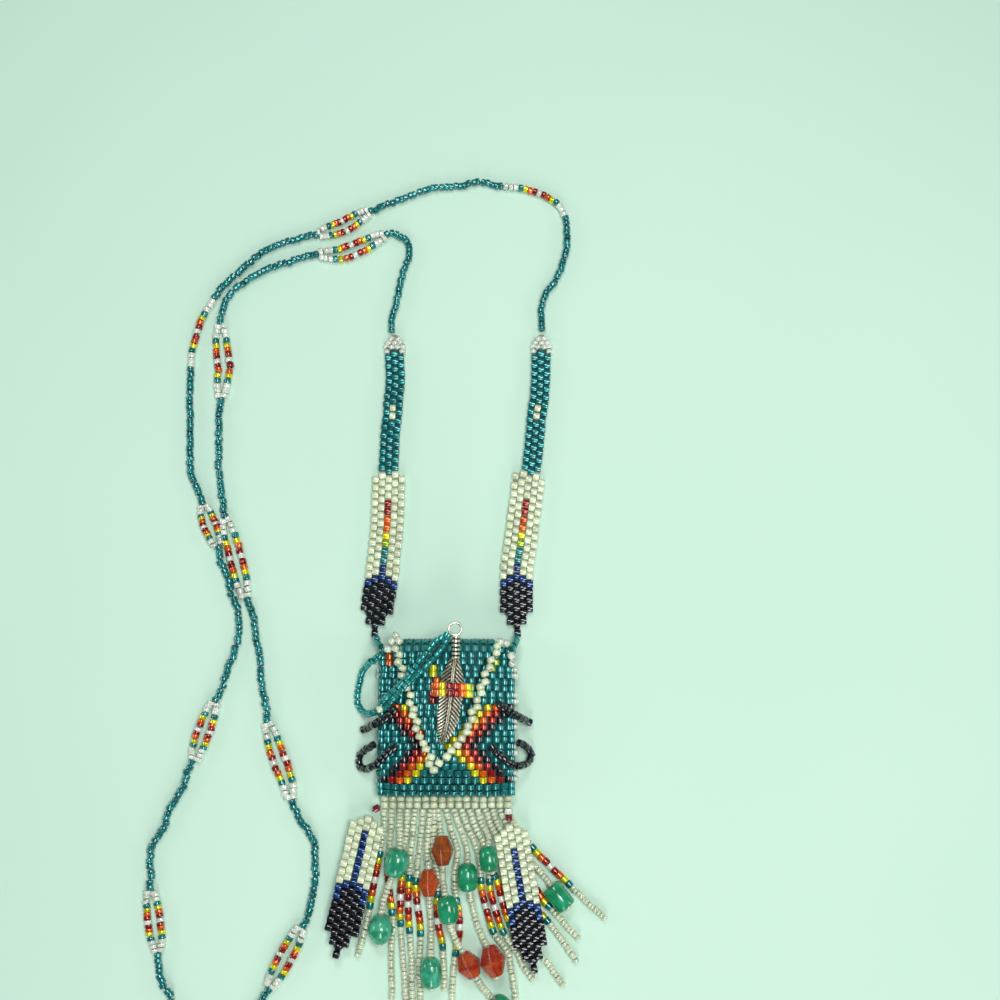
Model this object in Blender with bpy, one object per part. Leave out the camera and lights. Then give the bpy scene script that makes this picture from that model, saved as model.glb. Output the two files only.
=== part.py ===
"""A small beaded medicine bag, lying face up with its neck strand laid out above it.

Metres, +Z up. The origin is the middle of the pouch's underside, on the surface it lies on. +Y runs up
from the fringe to the straps, and +X is to the right as the bag is seen from the front.

The woven pieces are made as ridged fields: each bead is a low ridge, and neighbouring rows are set half a
bead apart, as the weave sets them. Single strands are tubes of the beads' own diameter.
"""

import math

import bmesh
import bpy
import numpy as np

MM = 0.001  # the sizes below are in millimetres, and meshes are made in metres

# Seed beads
COLUMN_PITCH = 1.58  # bead diameter with its gap, across the pouch and along a strap
BEAD_LENGTH = 1.3  # across a strap
ROW_PITCH = 1.2  # down the pouch
GROOVE = 0.3  # how deep the line between two beads lies
THICKNESS = 1.6  # of a woven sheet
GAP = 0.3  # between neighbouring pieces

# Pouch
POUCH_COLUMNS = 16
POUCH_DOUBLE_ROWS = 12
POUCH_TOP_Y = 14.4
SIDE_HEIGHT = 3.6
CROWN_RISE = 4.0  # how much higher the middle of the front is than its sides
CROWN_POWER = 2.6
CROWN_END_Y = -7.2  # below here the front slopes down to the fringe
SLOPE_END_Y = -13.9
CROWN_LEFT = 0.08  # share of the rise that is left at the lower edge
WALL = 1.5
FLOOR_INSIDE_Z = 1.6
INSIDE_END_Y = -12.2
SEAM = 0.075  # half the width of the strip in which one row hands over to the next
HALF_WIDTH = POUCH_COLUMNS * COLUMN_PITCH / 2

# Chevrons on the front: the tips' places, and how far the arms reach up and down
CHEVRON_Y = -3.9
CHEVRON_LEFT_X = -5.8
CHEVRON_RIGHT_X = 4.8
CHEVRON_SLOPE = 0.95
CHEVRON_REACH = 7.9
CHEVRON_BANDS = ["black", "dark_red", "red", "yellow"]

# Flap
FLAP_TIP_X = -2.4
FLAP_TIP_Y = -8.0
FLAP_TOP_HALF_WIDTH = 9.35  # to the middle of its edging
FLAP_DOUBLE_ROWS = 9
EDGING_RADIUS = 0.85
EDGING_PITCH = 1.35

# Edgings along the sides and the lower edge
SIDE_EDGING_RADIUS = 0.7
SIDE_EDGING_TOP_Y = 12.5
BASE_EDGING_LENGTH = 2.7

# Toggle band and feather charm
BAND_HALF_WIDTH = 3.9
BAND_HEIGHT = 3.0
BAND_LENGTH = 2.6
FEATHER_Z = 9.75
FEATHER_EDGE = 0.35
FEATHER_SPINE = 1.15
RING_RADIUS = 1.1
RING_WIRE = 0.3

# Strands
STRAND_DIAMETER = 1.25  # fringe
NECK_DIAMETER = 1.6
TETHER_DIAMETER = 1.4
LOOP_DIAMETER = 1.5
ACCENT_BORE = 1.9
CURVE_STEPS = 12  # points of a smooth curve from one point of its route to the next

# The camera of the photograph that the layout was read from. Places below are written (column, row,
# height), with the height in millimetres, and at_pixel() turns them into places on the bag.
FOCAL_PIXELS = 1389.0
CAMERA_AWAY = 278.0
CAMERA_TILT = math.atan(0.18)
AIM_X = 10.3
AIM_Y = 44.4
IMAGE_MIDDLE = 500.0

FINISHES = {
    # name: (colour, roughness, metallic)
    "teal": ((0.02, 0.30, 0.33), 0.22, 0.0),
    "white": ((0.86, 0.85, 0.76), 0.25, 0.0),
    "black": ((0.01, 0.012, 0.016), 0.2, 0.0),
    "dark_red": ((0.22, 0.008, 0.012), 0.22, 0.0),
    "red": ((0.62, 0.03, 0.012), 0.22, 0.0),
    "orange": ((0.85, 0.20, 0.015), 0.22, 0.0),
    "yellow": ((0.78, 0.62, 0.02), 0.22, 0.0),
    "yellow_green": ((0.38, 0.50, 0.03), 0.22, 0.0),
    "blue": ((0.015, 0.06, 0.30), 0.22, 0.0),
    "gunmetal": ((0.06, 0.065, 0.09), 0.25, 0.6),
    "green_glass": ((0.02, 0.42, 0.22), 0.1, 0.0),
    "amber_glass": ((0.60, 0.10, 0.015), 0.1, 0.0),
    "silver": ((0.62, 0.62, 0.60), 0.28, 1.0),
}

STRAP_LEFT_AXIS = [
    (395, 336), (394.8, 357), (395.7, 383), (393.7, 402), (392.6, 420), (390.6, 433), (389.6, 453),
    (388.8, 471), (389.3, 480), (388.5, 505), (387.5, 525), (386, 545), (383.8, 564), (381.5, 585),
    (378.5, 602), (376.2, 618), (375, 634),
]  # fmt: skip
STRAP_RIGHT_AXIS = [
    (541.4, 336), (541.2, 355), (540.4, 381), (538.9, 402), (536.6, 417), (535.4, 432), (533.2, 453),
    (530.7, 473), (528.5, 481), (526.3, 500), (524.2, 516), (520.4, 545), (517, 568), (516.5, 585),
    (516.5, 608), (516.8, 620), (517.2, 634),
]  # fmt: skip
PENDANT_LEFT_AXIS = [(370, 815), (358, 865), (346, 916), (336, 958)]
PENDANT_RIGHT_AXIS = [(509, 823.5), (517, 868), (526, 920), (535, 973)]

# Half rows along a band, and how many beads it is wide there
STRAP_PLAN = [(36, 3), (33, 5), (4, 3), (2, 1)]
PENDANT_PLAN = [(2, 3), (25, 5), (5, 3), (4, 1)]
SPINE = ["red", "red", "orange", "orange", "yellow", "yellow_green", "teal", "teal", "blue", "blue"]

STRAP_LINK_LEFT = [(376, 637, 1.1), (376.8, 640, 2.7), (378.5, 644, 4.3), (381.5, 647.5, 5.2)]
STRAP_LINK_RIGHT = [(516.3, 637, 1.1), (516, 641, 2.9), (514.5, 645, 4.5), (511, 650, 5.4)]
PENDANT_LINK_LEFT = [(380, 806, 2.8), (372.5, 811, 2.4)]
PENDANT_LINK_RIGHT = [(508, 808, 2.85), (509.2, 820.5, 2.4)]

LOOP_LEFT_UPPER = [
    (397, 708, 6.9), (389, 716, 6.0), (381, 721, 5.0), (374.5, 724, 4.0), (367.5, 728, 1.9), (361, 731, 0.8),
]  # fmt: skip
LOOP_RIGHT_UPPER = [
    (497, 703, 6.9), (505, 709, 5.9), (513, 714, 4.8), (519, 717, 3.7), (526, 720, 1.6), (532, 723, 0.8),
]  # fmt: skip
LOOP_LEFT_LOWER = [
    (397, 745, 6.9), (388, 753, 5.8), (380, 761, 4.9), (373, 766, 4.1), (366, 769, 1.9), (360, 766, 0.8),
    (359, 758, 0.8), (362.5, 752, 1.1), (368.5, 748, 3.0), (375, 744, 4.2),
]  # fmt: skip
LOOP_RIGHT_LOWER = [
    (490, 745, 7.4), (497, 753, 6.8), (505, 760, 6.0), (512, 764, 5.1), (520, 766, 4.0), (527, 763, 1.8),
    (531, 757, 0.8), (529, 750, 1.2), (523.5, 745, 3.2), (517.5, 743, 4.4),
]  # fmt: skip

TETHER = [
    (381.5, 654, 5.0), (374.5, 659, 4.2), (367, 665, 2.0), (362, 673, 0.8), (359.5, 683, 0.75),
    (358, 695, 0.75), (358.5, 705, 0.75), (364, 712, 1.4), (371.5, 713, 3.5), (380, 709, 4.9),
    (386, 703, 5.9), (394, 694, 7.6), (403, 685, 9.4), (413, 675, 10.1), (424, 662, 10.5),
    (435, 649, 10.5), (445, 638, 10.5),
]  # fmt: skip

NECK_Z = 0.8
NECK = [
    (391.3, 332), (392, 318), (396, 304), (400, 286), (404, 270), (409, 256), (407, 241), (393, 233),
    (385, 235), (374, 240), (364, 245), (353, 250), (342, 253.5), (331, 254.5), (319, 254.5),
    (302, 257), (288, 262), (270, 268), (254, 277), (239, 286), (228, 297), (222, 312),
    (221, 324), (222, 350), (224, 367), (222, 382), (221, 398),
    (219, 420), (219, 445), (219, 470), (221, 491), (223, 507),
    (225, 518), (233, 548), (241, 578), (246, 598),
    (253, 614), (256, 636), (260, 660), (262, 685), (266, 706),
    (268, 722), (273, 740), (279, 760), (287, 781), (291, 800),
    (299, 818), (308, 830), (314, 848), (315, 870), (314, 890), (311, 905), (305, 921),
    (302, 927), (286, 957), (269, 988),
    (262, 1000), (250, 1030), (246, 1080), (248, 1130), (252, 1180), (250, 1230), (232, 1268),
    (205, 1280), (178, 1268), (160, 1230), (156, 1180), (160, 1130), (166, 1080), (171, 1030),
    (171, 1000), (163, 984), (159, 972),
    (158, 952), (155, 928), (150, 890),
    (151, 876), (150, 860), (152, 847), (158, 836), (165, 826), (167, 815), (175, 800), (183, 786),
    (188, 770), (194, 760), (198, 748), (206, 725), (215, 702),
    (224, 682), (228, 667), (236, 648), (239, 628), (238, 612), (231, 592), (227, 576), (221, 562),
    (218, 545), (210, 526), (203, 505),
    (197, 488), (191, 473), (190, 450), (190, 420), (190, 395), (191, 372), (192, 353), (196, 337),
    (199, 325), (206, 312), (215, 297), (226, 283), (240, 271), (257, 256), (275, 246), (293, 240),
    (307, 236), (318, 234), (327, 231), (339, 228), (348, 224), (358, 218), (369, 212),
    (380, 207), (394, 201), (408, 197), (424, 191), (440, 187), (458, 187), (478, 182), (494, 185),
    (508, 187), (522, 188), (536, 192), (549, 198), (560, 207), (566, 222), (567, 240), (564, 258),
    (556, 280), (547, 292), (541, 309), (541.5, 321), (541.5, 331.5),
]  # fmt: skip

FRINGE_Z = 0.65
FRINGE = [
    [(384, 813), (384, 825), (382, 840), (379, 858), (375, 878), (371, 900), (367, 922), (362, 942),
     (357, 957)],
    [(391.8, 813), (391, 830), (389, 850), (387.5, 865), (389, 888), (391.5, 905), (393, 925), (391.5, 950),
     (392, 1000)],
    [(399.5, 813), (399.5, 828, 1.5), (400, 845, 2.5), (396.5, 863, 4.0), (391, 880, 2.3), (385.5, 895, 2.3),
     (381.5, 912, 2.5), (380.5, 929, 2.9), (379, 946, 1.6)],
    [(407, 813), (406.5, 830), (404, 848), (403, 865), (401.5, 880), (400.5, 897), (400, 915), (401, 935),
     (403, 960), (405, 985), (406, 1008)],
    [(415, 813), (413.5, 830), (411.5, 850), (410, 868), (408.8, 885), (408, 900), (408.5, 918), (410, 938),
     (412, 962), (412, 985), (413, 1010)],
    [(422.8, 813), (421.5, 830), (419.5, 850), (417.5, 868), (416, 880), (416.5, 895), (418, 910),
     (420.5, 928), (420, 950), (419.5, 968), (420, 985), (421, 1008)],
    [(430.5, 813), (428.5, 830), (427.5, 850), (428, 868, 1.6), (429, 883, 2.2), (429, 900, 1.4),
     (430.5, 920), (431, 940), (430.7, 958, 2.2), (430.7, 973, 3.0), (432, 990, 2.0)],
    [(438, 813), (440, 828), (442, 840, 1.8), (442.6, 850.6, 2.6), (442.5, 864, 1.9), (443, 878, 1.0),
     (445, 893, 2.4), (448, 910, 2.8), (450, 925, 2.7), (456, 940, 2.2), (463, 953, 2.1), (469, 965, 2.4),
     (477, 979, 2.0), (487, 992, 1.0), (496, 1001, 2.2), (503, 1009, 2.4), (510, 1018, 1.2)],
    [(446, 813), (450, 826), (454, 838), (458, 850), (456.5, 862), (454.5, 876), (455, 890),
     (457.5, 905), (459.5, 918), (459.5, 930), (458, 941), (456, 953), (454, 968), (452.5, 985),
     (452, 1008)],
    [(453.8, 813), (459, 826), (464, 838), (467, 850), (467.5, 864, 1.6), (467.5, 877.5, 2.4),
     (470, 893, 1.4), (473, 908), (477, 924), (483, 938, 1.2), (488, 949, 2.0), (493, 961, 2.7),
     (496, 979, 1.8)],
    [(461.5, 813), (467, 826), (473, 838), (477, 850), (480, 864), (481, 878), (482, 892), (485.5, 906),
     (489.5, 920), (494.5, 934), (502, 944), (508, 953), (511, 968), (514, 985), (516, 1005)],
    [(469, 813), (475, 826), (481, 838), (485.5, 850), (488.5, 864), (489.5, 878), (490.5, 892),
     (494, 905), (498, 918), (503, 931), (510.5, 942), (517, 953), (524, 967), (534, 980)],
    [(477, 813), (482.5, 825), (488.5, 836), (489, 846, 1.9), (488.5, 859, 3.2), (492, 870, 2.4),
     (498, 882, 1.0), (500, 893), (503.5, 905), (507, 916), (512, 928), (520, 942), (532, 952),
     (545, 960), (556, 975), (564, 986)],
    [(484.8, 813), (491, 825), (498, 838), (504, 851), (509, 866), (514, 880), (520, 893), (529, 904),
     (541, 914), (551.5, 926), (560, 937), (568, 948), (577.5, 962)],
    [(492.5, 813), (497.5, 824), (505, 836), (513, 849), (520, 862), (528, 875), (536, 888), (543, 900),
     (551, 908), (560, 918), (569.5, 929), (579.5, 938.5)],
    [(500, 813), (505.5, 823), (512.5, 833), (520, 844), (527, 855), (534, 865), (542, 874), (550, 884),
     (559, 897, 2.1), (569, 908, 1.0)],
    [(508, 813), (514, 823), (522, 833), (528, 842), (534, 849), (541, 857), (549, 865), (557, 873),
     (565, 880), (572, 887), (582, 897), (594, 908), (606, 919)],
]  # fmt: skip

# Accent beads: name, strand (from 1), point (from 0) it is threaded at, finish, profile, width, length
ACCENTS = [
    ("green_oval_left", 3, 3, "green_glass", "oval", 4.8, 5.3),
    ("green_diamond_left", 3, 7, "green_glass", "bicone", 5.0, 5.3),
    ("green_oval_middle", 10, 5, "green_glass", "oval", 4.1, 5.1),
    ("green_oval_lower", 8, 7, "green_glass", "oval", 4.1, 5.0),
    ("green_oval_low_left", 7, 9, "green_glass", "oval", 4.1, 5.5),
    ("green_slim_right", 13, 4, "green_glass", "oval", 3.5, 4.6),
    ("green_cylinder_right", 16, 8, "green_glass", "cylinder", 4.0, 5.0),
    ("green_oval_lowest", 8, 15, "green_glass", "oval", 4.1, 5.3),
    ("amber_bicone_upper", 8, 3, "amber_glass", "bicone", 4.2, 5.5),
    ("amber_bicone_left", 7, 4, "amber_glass", "bicone", 3.9, 5.0),
    ("amber_bicone_low_left", 8, 11, "amber_glass", "bicone", 4.4, 4.9),
    ("amber_bicone_low_right", 10, 11, "amber_glass", "bicone", 4.8, 5.6),
]

# Half profiles of the accent beads: (share of the half length, share of the half width)
PROFILES = {
    "oval": [(-1.0, 0.62), (-0.55, 0.92), (0.0, 1.0), (0.55, 0.92), (1.0, 0.62)],
    "bicone": [(-1.0, 0.5), (-0.12, 1.0), (0.12, 1.0), (1.0, 0.5)],
    "cylinder": [(-1.0, 0.86), (-0.85, 1.0), (0.85, 1.0), (1.0, 0.86)],
}

# Feather blade: middle line and half width, in photograph pixels
FEATHER_BLADE = [
    (455.5, 656, 3.5), (453.5, 670, 9), (452, 685, 11.3), (450.5, 700, 11.5), (448.5, 715, 11),
    (445.5, 730, 7.5), (441, 744, 1.2),
]  # fmt: skip
FEATHER_NECK = [(456, 635), (456, 659)]
FEATHER_RING = (455, 629)


def clear_scene():
    for obj in list(bpy.data.objects):
        bpy.data.objects.remove(obj, do_unlink=True)


def make_finishes():
    """One Principled material for each finish."""
    made = {}
    for name, (colour, roughness, metallic) in FINISHES.items():
        material = bpy.data.materials.new(name)
        material.use_nodes = True
        material.diffuse_color = (*colour, 1.0)
        shader = material.node_tree.nodes["Principled BSDF"]
        shader.inputs["Base Color"].default_value = (*colour, 1.0)
        shader.inputs["Roughness"].default_value = roughness
        shader.inputs["Metallic"].default_value = metallic
        made[name] = material
    return made


def at_pixel(column, row, height=0.0):
    """The place at this height, in millimetres, that the photograph shows at this pixel."""
    sine, cosine = math.sin(CAMERA_TILT), math.cos(CAMERA_TILT)
    camera = np.array([AIM_X, AIM_Y - CAMERA_AWAY * sine, CAMERA_AWAY * cosine])
    across = (column - IMAGE_MIDDLE) / FOCAL_PIXELS
    up = (IMAGE_MIDDLE - row) / FOCAL_PIXELS
    ray = np.array([across, up * cosine + sine, up * sine - cosine])
    return camera + ray * (height - camera[2]) / ray[2]


def places(points, height):
    """Millimetre places of a list of (column, row) or (column, row, height)."""
    return np.array([at_pixel(p[0], p[1], p[2] if len(p) > 2 else height) for p in points])


def smooth_curve(points):
    """Points along the Catmull-Rom curve through the given points."""
    padded = np.vstack([2 * points[0] - points[1], points, 2 * points[-1] - points[-2]])
    t = np.linspace(0.0, 1.0, CURVE_STEPS, endpoint=False)[:, None]
    pieces = []
    for a, b, c, d in zip(padded, padded[1:], padded[2:], padded[3:]):
        pieces.append(
            0.5 * (2 * b + (c - a) * t + (2 * a - 5 * b + 4 * c - d) * t**2 + (3 * b - a - 3 * c + d) * t**3)
        )
    return np.vstack([*pieces, points[-1]])


def arc_lengths(curve):
    steps = np.linalg.norm(np.diff(curve, axis=0), axis=1)
    return np.concatenate([[0.0], np.cumsum(steps)])


def along(curve, distances):
    """Points at these distances along the curve."""
    lengths = arc_lengths(curve)
    return np.stack([np.interp(distances, lengths, curve[:, k]) for k in range(3)], axis=1)


def lay_points(curve, nearest, farthest, turn):
    """Points along the curve, closer together where it bends."""
    headings = np.diff(curve, axis=0)
    headings /= np.linalg.norm(headings, axis=1)[:, None]
    lengths = arc_lengths(curve)
    kept = [0]
    for k in range(1, len(headings)):
        apart = lengths[k] - lengths[kept[-1]]
        turned = math.acos(min(1.0, float(headings[k] @ headings[kept[-1]])))
        if apart >= farthest or (apart >= nearest and turned >= turn):
            kept.append(k)
    if lengths[-1] - lengths[kept[-1]] < nearest / 2:
        kept.pop()
    return curve[[*kept, len(curve) - 1]]


def add_mesh(name, points, faces, colours):
    """A closed mesh from millimetre points. colours is one finish, or one for each face."""
    if isinstance(colours, str):
        colours = [colours] * len(faces)
    used = sorted(set(colours))
    mesh = bpy.data.meshes.new(name)
    mesh.from_pydata([tuple(p) for p in np.asarray(points) * MM], [], faces)
    for finish in used:
        mesh.materials.append(MATERIALS[finish])
    mesh.polygons.foreach_set("material_index", [used.index(c) for c in colours])
    shape = bmesh.new()
    shape.from_mesh(mesh)
    bmesh.ops.recalc_face_normals(shape, faces=shape.faces)
    shape.to_mesh(mesh)
    shape.free()
    obj = bpy.data.objects.new(name, mesh)
    bpy.context.scene.collection.objects.link(obj)
    return obj


def add_tube(name, points, diameter, finish):
    """A round tube with closed ends along millimetre points."""
    curve = bpy.data.curves.new(name, "CURVE")
    curve.dimensions = "3D"
    curve.bevel_depth = diameter / 2 * MM
    curve.bevel_resolution = 2
    curve.use_fill_caps = True
    curve.materials.append(MATERIALS[finish])
    spline = curve.splines.new("POLY")
    spline.points.add(len(points) - 1)
    for point, place in zip(spline.points, np.asarray(points) * MM):
        point.co = (*place, 1.0)
    obj = bpy.data.objects.new(name, curve)
    bpy.context.scene.collection.objects.link(obj)
    return obj


def add_strand(name, route, height, diameter, finish):
    """A tube along a smooth curve through the route, with a point every two and a half diameters."""
    curve = smooth_curve(places(route, height))
    length = arc_lengths(curve)[-1]
    count = max(3, round(length / (2.5 * diameter)) + 1)
    return add_tube(name, along(curve, np.linspace(0.0, length, count)), diameter, finish)


def add_rings(name, rings, colour, closed=False):
    """Rings of equally many points joined one to the next. The ends are capped, or joined when closed.

    colour(i, k) names the finish of the face between rings i and i + 1 at side k.
    """
    sides = len(rings[0])
    faces, colours = [], []
    for i in range(len(rings) if closed else len(rings) - 1):
        here, after = i * sides, (i + 1) % len(rings) * sides
        for k in range(sides):
            turn = (k + 1) % sides
            faces.append([here + k, here + turn, after + turn, after + k])
            colours.append(colour(i, k))
    if not closed:
        last = (len(rings) - 1) * sides
        faces.append(list(range(sides)))
        colours.append(colour(0, 0))
        faces.append(list(range(last, last + sides)))
        colours.append(colour(len(rings) - 2, 0))
    return add_mesh(name, np.vstack(rings), faces, colours)


def add_sheet(name, columns, rows, kept, top, under, colour, flat=False):
    """A closed sheet over the cells of a grid.

    kept(i, j) says whether the sheet has that cell, top(i, j) and under(i, j) place its corners, and
    colour(i, j) names its finish. A flat underside is made one face.
    """
    points, numbers, faces, colours = [], {}, [], []

    def corner(place, i, j):
        key = (place is top, i, j)
        if key not in numbers:
            numbers[key] = len(points)
            points.append(place(i, j))
        return numbers[key]

    for i in range(columns):
        for j in range(rows):
            if not kept(i, j):
                continue
            ring = [(i, j), (i + 1, j), (i + 1, j + 1), (i, j + 1)]
            faces.append([corner(top, *c) for c in ring])
            faces.append([corner(under, *c) for c in reversed(ring)])
            colours += [colour(i, j)] * 2
            for k, (step_i, step_j) in enumerate([(0, -1), (1, 0), (0, 1), (-1, 0)]):
                if not kept(i + step_i, j + step_j):
                    a, b = ring[k], ring[(k + 1) % 4]
                    faces.append([corner(top, *a), corner(under, *a), corner(under, *b), corner(top, *b)])
                    colours.append(colour(i, j))
    obj = add_mesh(name, points, faces, colours)
    if flat:
        shape = bmesh.new()
        shape.from_mesh(obj.data)
        lowest = min(v.co.z for v in shape.verts)
        underside = [f for f in shape.faces if max(v.co.z for v in f.verts) < lowest + 1e-6]
        bmesh.ops.dissolve_faces(shape, faces=underside)
        shape.to_mesh(obj.data)
        shape.free()
    return obj


def front_height(x, y):
    """Height of the pouch's front: a crown between the sides that slopes away towards the fringe."""
    rise = 1.0 - min(1.0, abs(x) / HALF_WIDTH) ** CROWN_POWER
    if y >= CROWN_END_Y:
        return SIDE_HEIGHT + CROWN_RISE * rise
    share = (CROWN_END_Y - y) / (CROWN_END_Y - SLOPE_END_Y)
    return SIDE_HEIGHT + CROWN_RISE * rise * (1.0 - (1.0 - CROWN_LEFT) * min(1.0, share) ** 2)


def pouch_rows():
    """The y of each line between double rows, stepping down the front's middle from its top."""
    lines = [POUCH_TOP_Y]
    step = 2 * ROW_PITCH
    for _ in range(POUCH_DOUBLE_ROWS):
        slope = (front_height(0, lines[-1]) - front_height(0, lines[-1] - 0.5)) / 0.5
        lines.append(lines[-1] - step / math.sqrt(1 + slope**2))
    return lines


def pouch_colour(x, y):
    """Teal, with chevrons pointing in from both sides and a few odd beads at the upper corners."""
    spread = abs(y - CHEVRON_Y)
    if spread <= CHEVRON_REACH:
        left = (x - (CHEVRON_LEFT_X - CHEVRON_SLOPE * spread)) / COLUMN_PITCH + 0.5
        right = (CHEVRON_RIGHT_X + CHEVRON_SLOPE * spread - x) / COLUMN_PITCH + 0.5
        for band in (left, right):
            if 0 <= band < len(CHEVRON_BANDS):
                return CHEVRON_BANDS[int(band)]
    if x < -10.0 and 11.0 < y < 14.5:
        return "orange"
    return "teal"


def add_pouch():
    """A cup of one wall, open towards the straps: ridged in front, flat behind."""
    half_columns = 2 * POUCH_COLUMNS
    flat_points = 5
    inner_half = HALF_WIDTH - WALL

    def ring(y, half, drop, floor, parity):
        front = []
        for j in range(half_columns + 1):
            x = -half + 2 * half * j / half_columns
            groove = GROOVE if parity is not None and j % 2 == parity else 0.0
            front.append((x, y, front_height(x, y) - drop - groove))
        back = [(half - 2 * half * k / (flat_points - 1), y, floor) for k in range(flat_points)]
        return front + back

    lines = pouch_rows()
    rings, colours = [], []
    for k in reversed(range(POUCH_DOUBLE_ROWS)):
        upper, lower = lines[k], lines[k + 1]
        low = lower if k == POUCH_DOUBLE_ROWS - 1 else lower + SEAM
        high = upper if k == 0 else upper - SEAM
        rings += [ring(low, HALF_WIDTH, 0.0, 0.0, k % 2), ring(high, HALF_WIDTH, 0.0, 0.0, k % 2)]
        colours += [(k, (upper + lower) / 2)] * 2
    for y in [POUCH_TOP_Y, CROWN_END_Y, (CROWN_END_Y + INSIDE_END_Y) / 2, INSIDE_END_Y]:
        rings.append(ring(y, inner_half, WALL, FLOOR_INSIDE_Z, None))

    def colour(i, k):
        if i >= len(colours) or k >= half_columns:
            return "teal"
        row, y = colours[i]
        middle = (k // 2 * 2 + 1) if row % 2 == 0 else (k + 1) // 2 * 2
        return pouch_colour(-HALF_WIDTH + COLUMN_PITCH * middle / 2, y)

    return add_rings("pouch_bag", rings, colour)


def flap_edge(y, side):
    """x of the flap's edging on the left (-1) or the right (1): straight from the top down to the tip."""
    share = (y - FLAP_TIP_Y) / (POUCH_TOP_Y - FLAP_TIP_Y)
    return side * FLAP_TOP_HALF_WIDTH * share + FLAP_TIP_X * (1.0 - share)


def add_flap():
    """A woven sheet that comes up the back, folds over the mouth and runs down the front to a point."""
    step = COLUMN_PITCH / 2
    margin = EDGING_RADIUS + GAP
    side = math.floor((FLAP_TOP_HALF_WIDTH - margin) / step)
    fold = THICKNESS - 0.1
    lines = [POUCH_TOP_Y + 0.6]
    for k in range(FLAP_DOUBLE_ROWS):
        lines.append(POUCH_TOP_Y - 2 * ROW_PITCH * (k + 1))
    rows = []  # (y above, y below, first and last half column, double row)
    for k in range(FLAP_DOUBLE_ROWS):
        first = side + math.ceil((flap_edge(lines[k + 1], -1) + margin) / step)
        last = side + math.floor((flap_edge(lines[k + 1], 1) - margin) / step)
        if last - first >= 2:
            rows.append((lines[k], lines[k + 1], (first, last), k))
    # stations from the foot of the back, over the fold and down the front: (y, kind, row parity)
    stations = [("back", 0.0, 0), ("corner", 0.0, 0), ("shoulder", 0.0, 0)]
    spans = [(0, 2 * side)] * 3
    for upper, lower, span, k in rows:
        stations += [("front", upper - (SEAM if k else 0.0), k % 2), ("front", lower + SEAM, k % 2)]
        spans += [span, span]

    def top(i, j):
        kind, y, parity = stations[j]
        x = (i - side) * step
        groove = GROOVE if (i - side) % 2 != parity else 0.0
        front = front_height(x, y if kind == "front" else POUCH_TOP_Y)
        if kind == "back":
            return (x, POUCH_TOP_Y + GAP + THICKNESS - groove, GAP)
        if kind == "corner":
            return (x, POUCH_TOP_Y + GAP + THICKNESS - groove, front + THICKNESS / 2)
        if kind == "shoulder":
            return (x, POUCH_TOP_Y + GAP + THICKNESS * 0.75, front + GAP + fold - 0.3 - groove)
        return (x, y, front + GAP + fold - groove)

    def under(i, j):
        kind, y, _ = stations[j]
        x = (i - side) * step
        front = front_height(x, y if kind == "front" else POUCH_TOP_Y)
        if kind == "back":
            return (x, POUCH_TOP_Y + GAP, GAP)
        if kind == "corner":
            return (x, POUCH_TOP_Y + GAP, front - GAP)
        if kind == "shoulder":
            return (x, POUCH_TOP_Y + GAP, front + GAP / 2)
        return (x, min(y, POUCH_TOP_Y + GAP / 2), front + GAP)

    def kept(i, j):
        return 0 <= j < len(stations) - 1 and spans[j][0] <= i < spans[j][1]

    def colour(i, j):
        kind, y, _ = stations[j]
        x = (i - side + 0.5) * step
        if kind == "front" and -2.6 < x < -1.4 and 3.0 < y < 12.0:
            return "yellow" if y > 8.0 else "red"
        return "teal"

    return add_sheet("flap", 2 * side, len(stations) - 1, kept, top, under, colour)


def add_beaded_rod(name, curve, radius, pitch, finish, sides=6):
    """A row of round beads as one rod: thick at each bead's middle, thin between two."""
    length = arc_lengths(curve)[-1]
    beads = round(length / pitch)
    places_ = along(curve, np.linspace(0.0, length, 2 * beads + 1))
    rings = []
    for k, place in enumerate(places_):
        heading = places_[min(k + 1, 2 * beads)] - places_[max(k - 1, 0)]
        heading /= np.linalg.norm(heading)
        across = np.cross(heading, [0.0, 0.0, 1.0])
        across /= np.linalg.norm(across)
        upward = np.cross(across, heading)
        size = radius if k % 2 else radius * 0.8
        angles = [2 * math.pi * (n + 0.5) / sides for n in range(sides)]
        rings.append([place + size * (math.cos(a) * across + math.sin(a) * upward) for a in angles])
    return add_rings(name, rings, lambda i, k: finish)


def add_flap_edging():
    """The white beads along the flap's two sloping edges, which meet at its point."""
    points = []
    for side in (-1, 1):
        leg = []
        for y in np.linspace(POUCH_TOP_Y - 0.1, FLAP_TIP_Y + 1.2, 9):
            x = flap_edge(y, side)
            leg.append((x, y, front_height(x, y) + GAP + EDGING_RADIUS))
        points += leg if side < 0 else leg[::-1]
        if side < 0:
            tip_z = front_height(FLAP_TIP_X, FLAP_TIP_Y) + GAP + EDGING_RADIUS
            points.append((FLAP_TIP_X, FLAP_TIP_Y, tip_z))
    return add_beaded_rod("flap_edging", np.array(points), EDGING_RADIUS, EDGING_PITCH, "white")


def add_side_edging(name, side):
    x = side * (HALF_WIDTH + GAP + SIDE_EDGING_RADIUS)
    z = SIDE_HEIGHT / 2
    points = np.array([(x, POUCH_BOTTOM_Y, z), (x, SIDE_EDGING_TOP_Y, z)])
    return add_beaded_rod(name, points, SIDE_EDGING_RADIUS, COLUMN_PITCH, "white")


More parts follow.
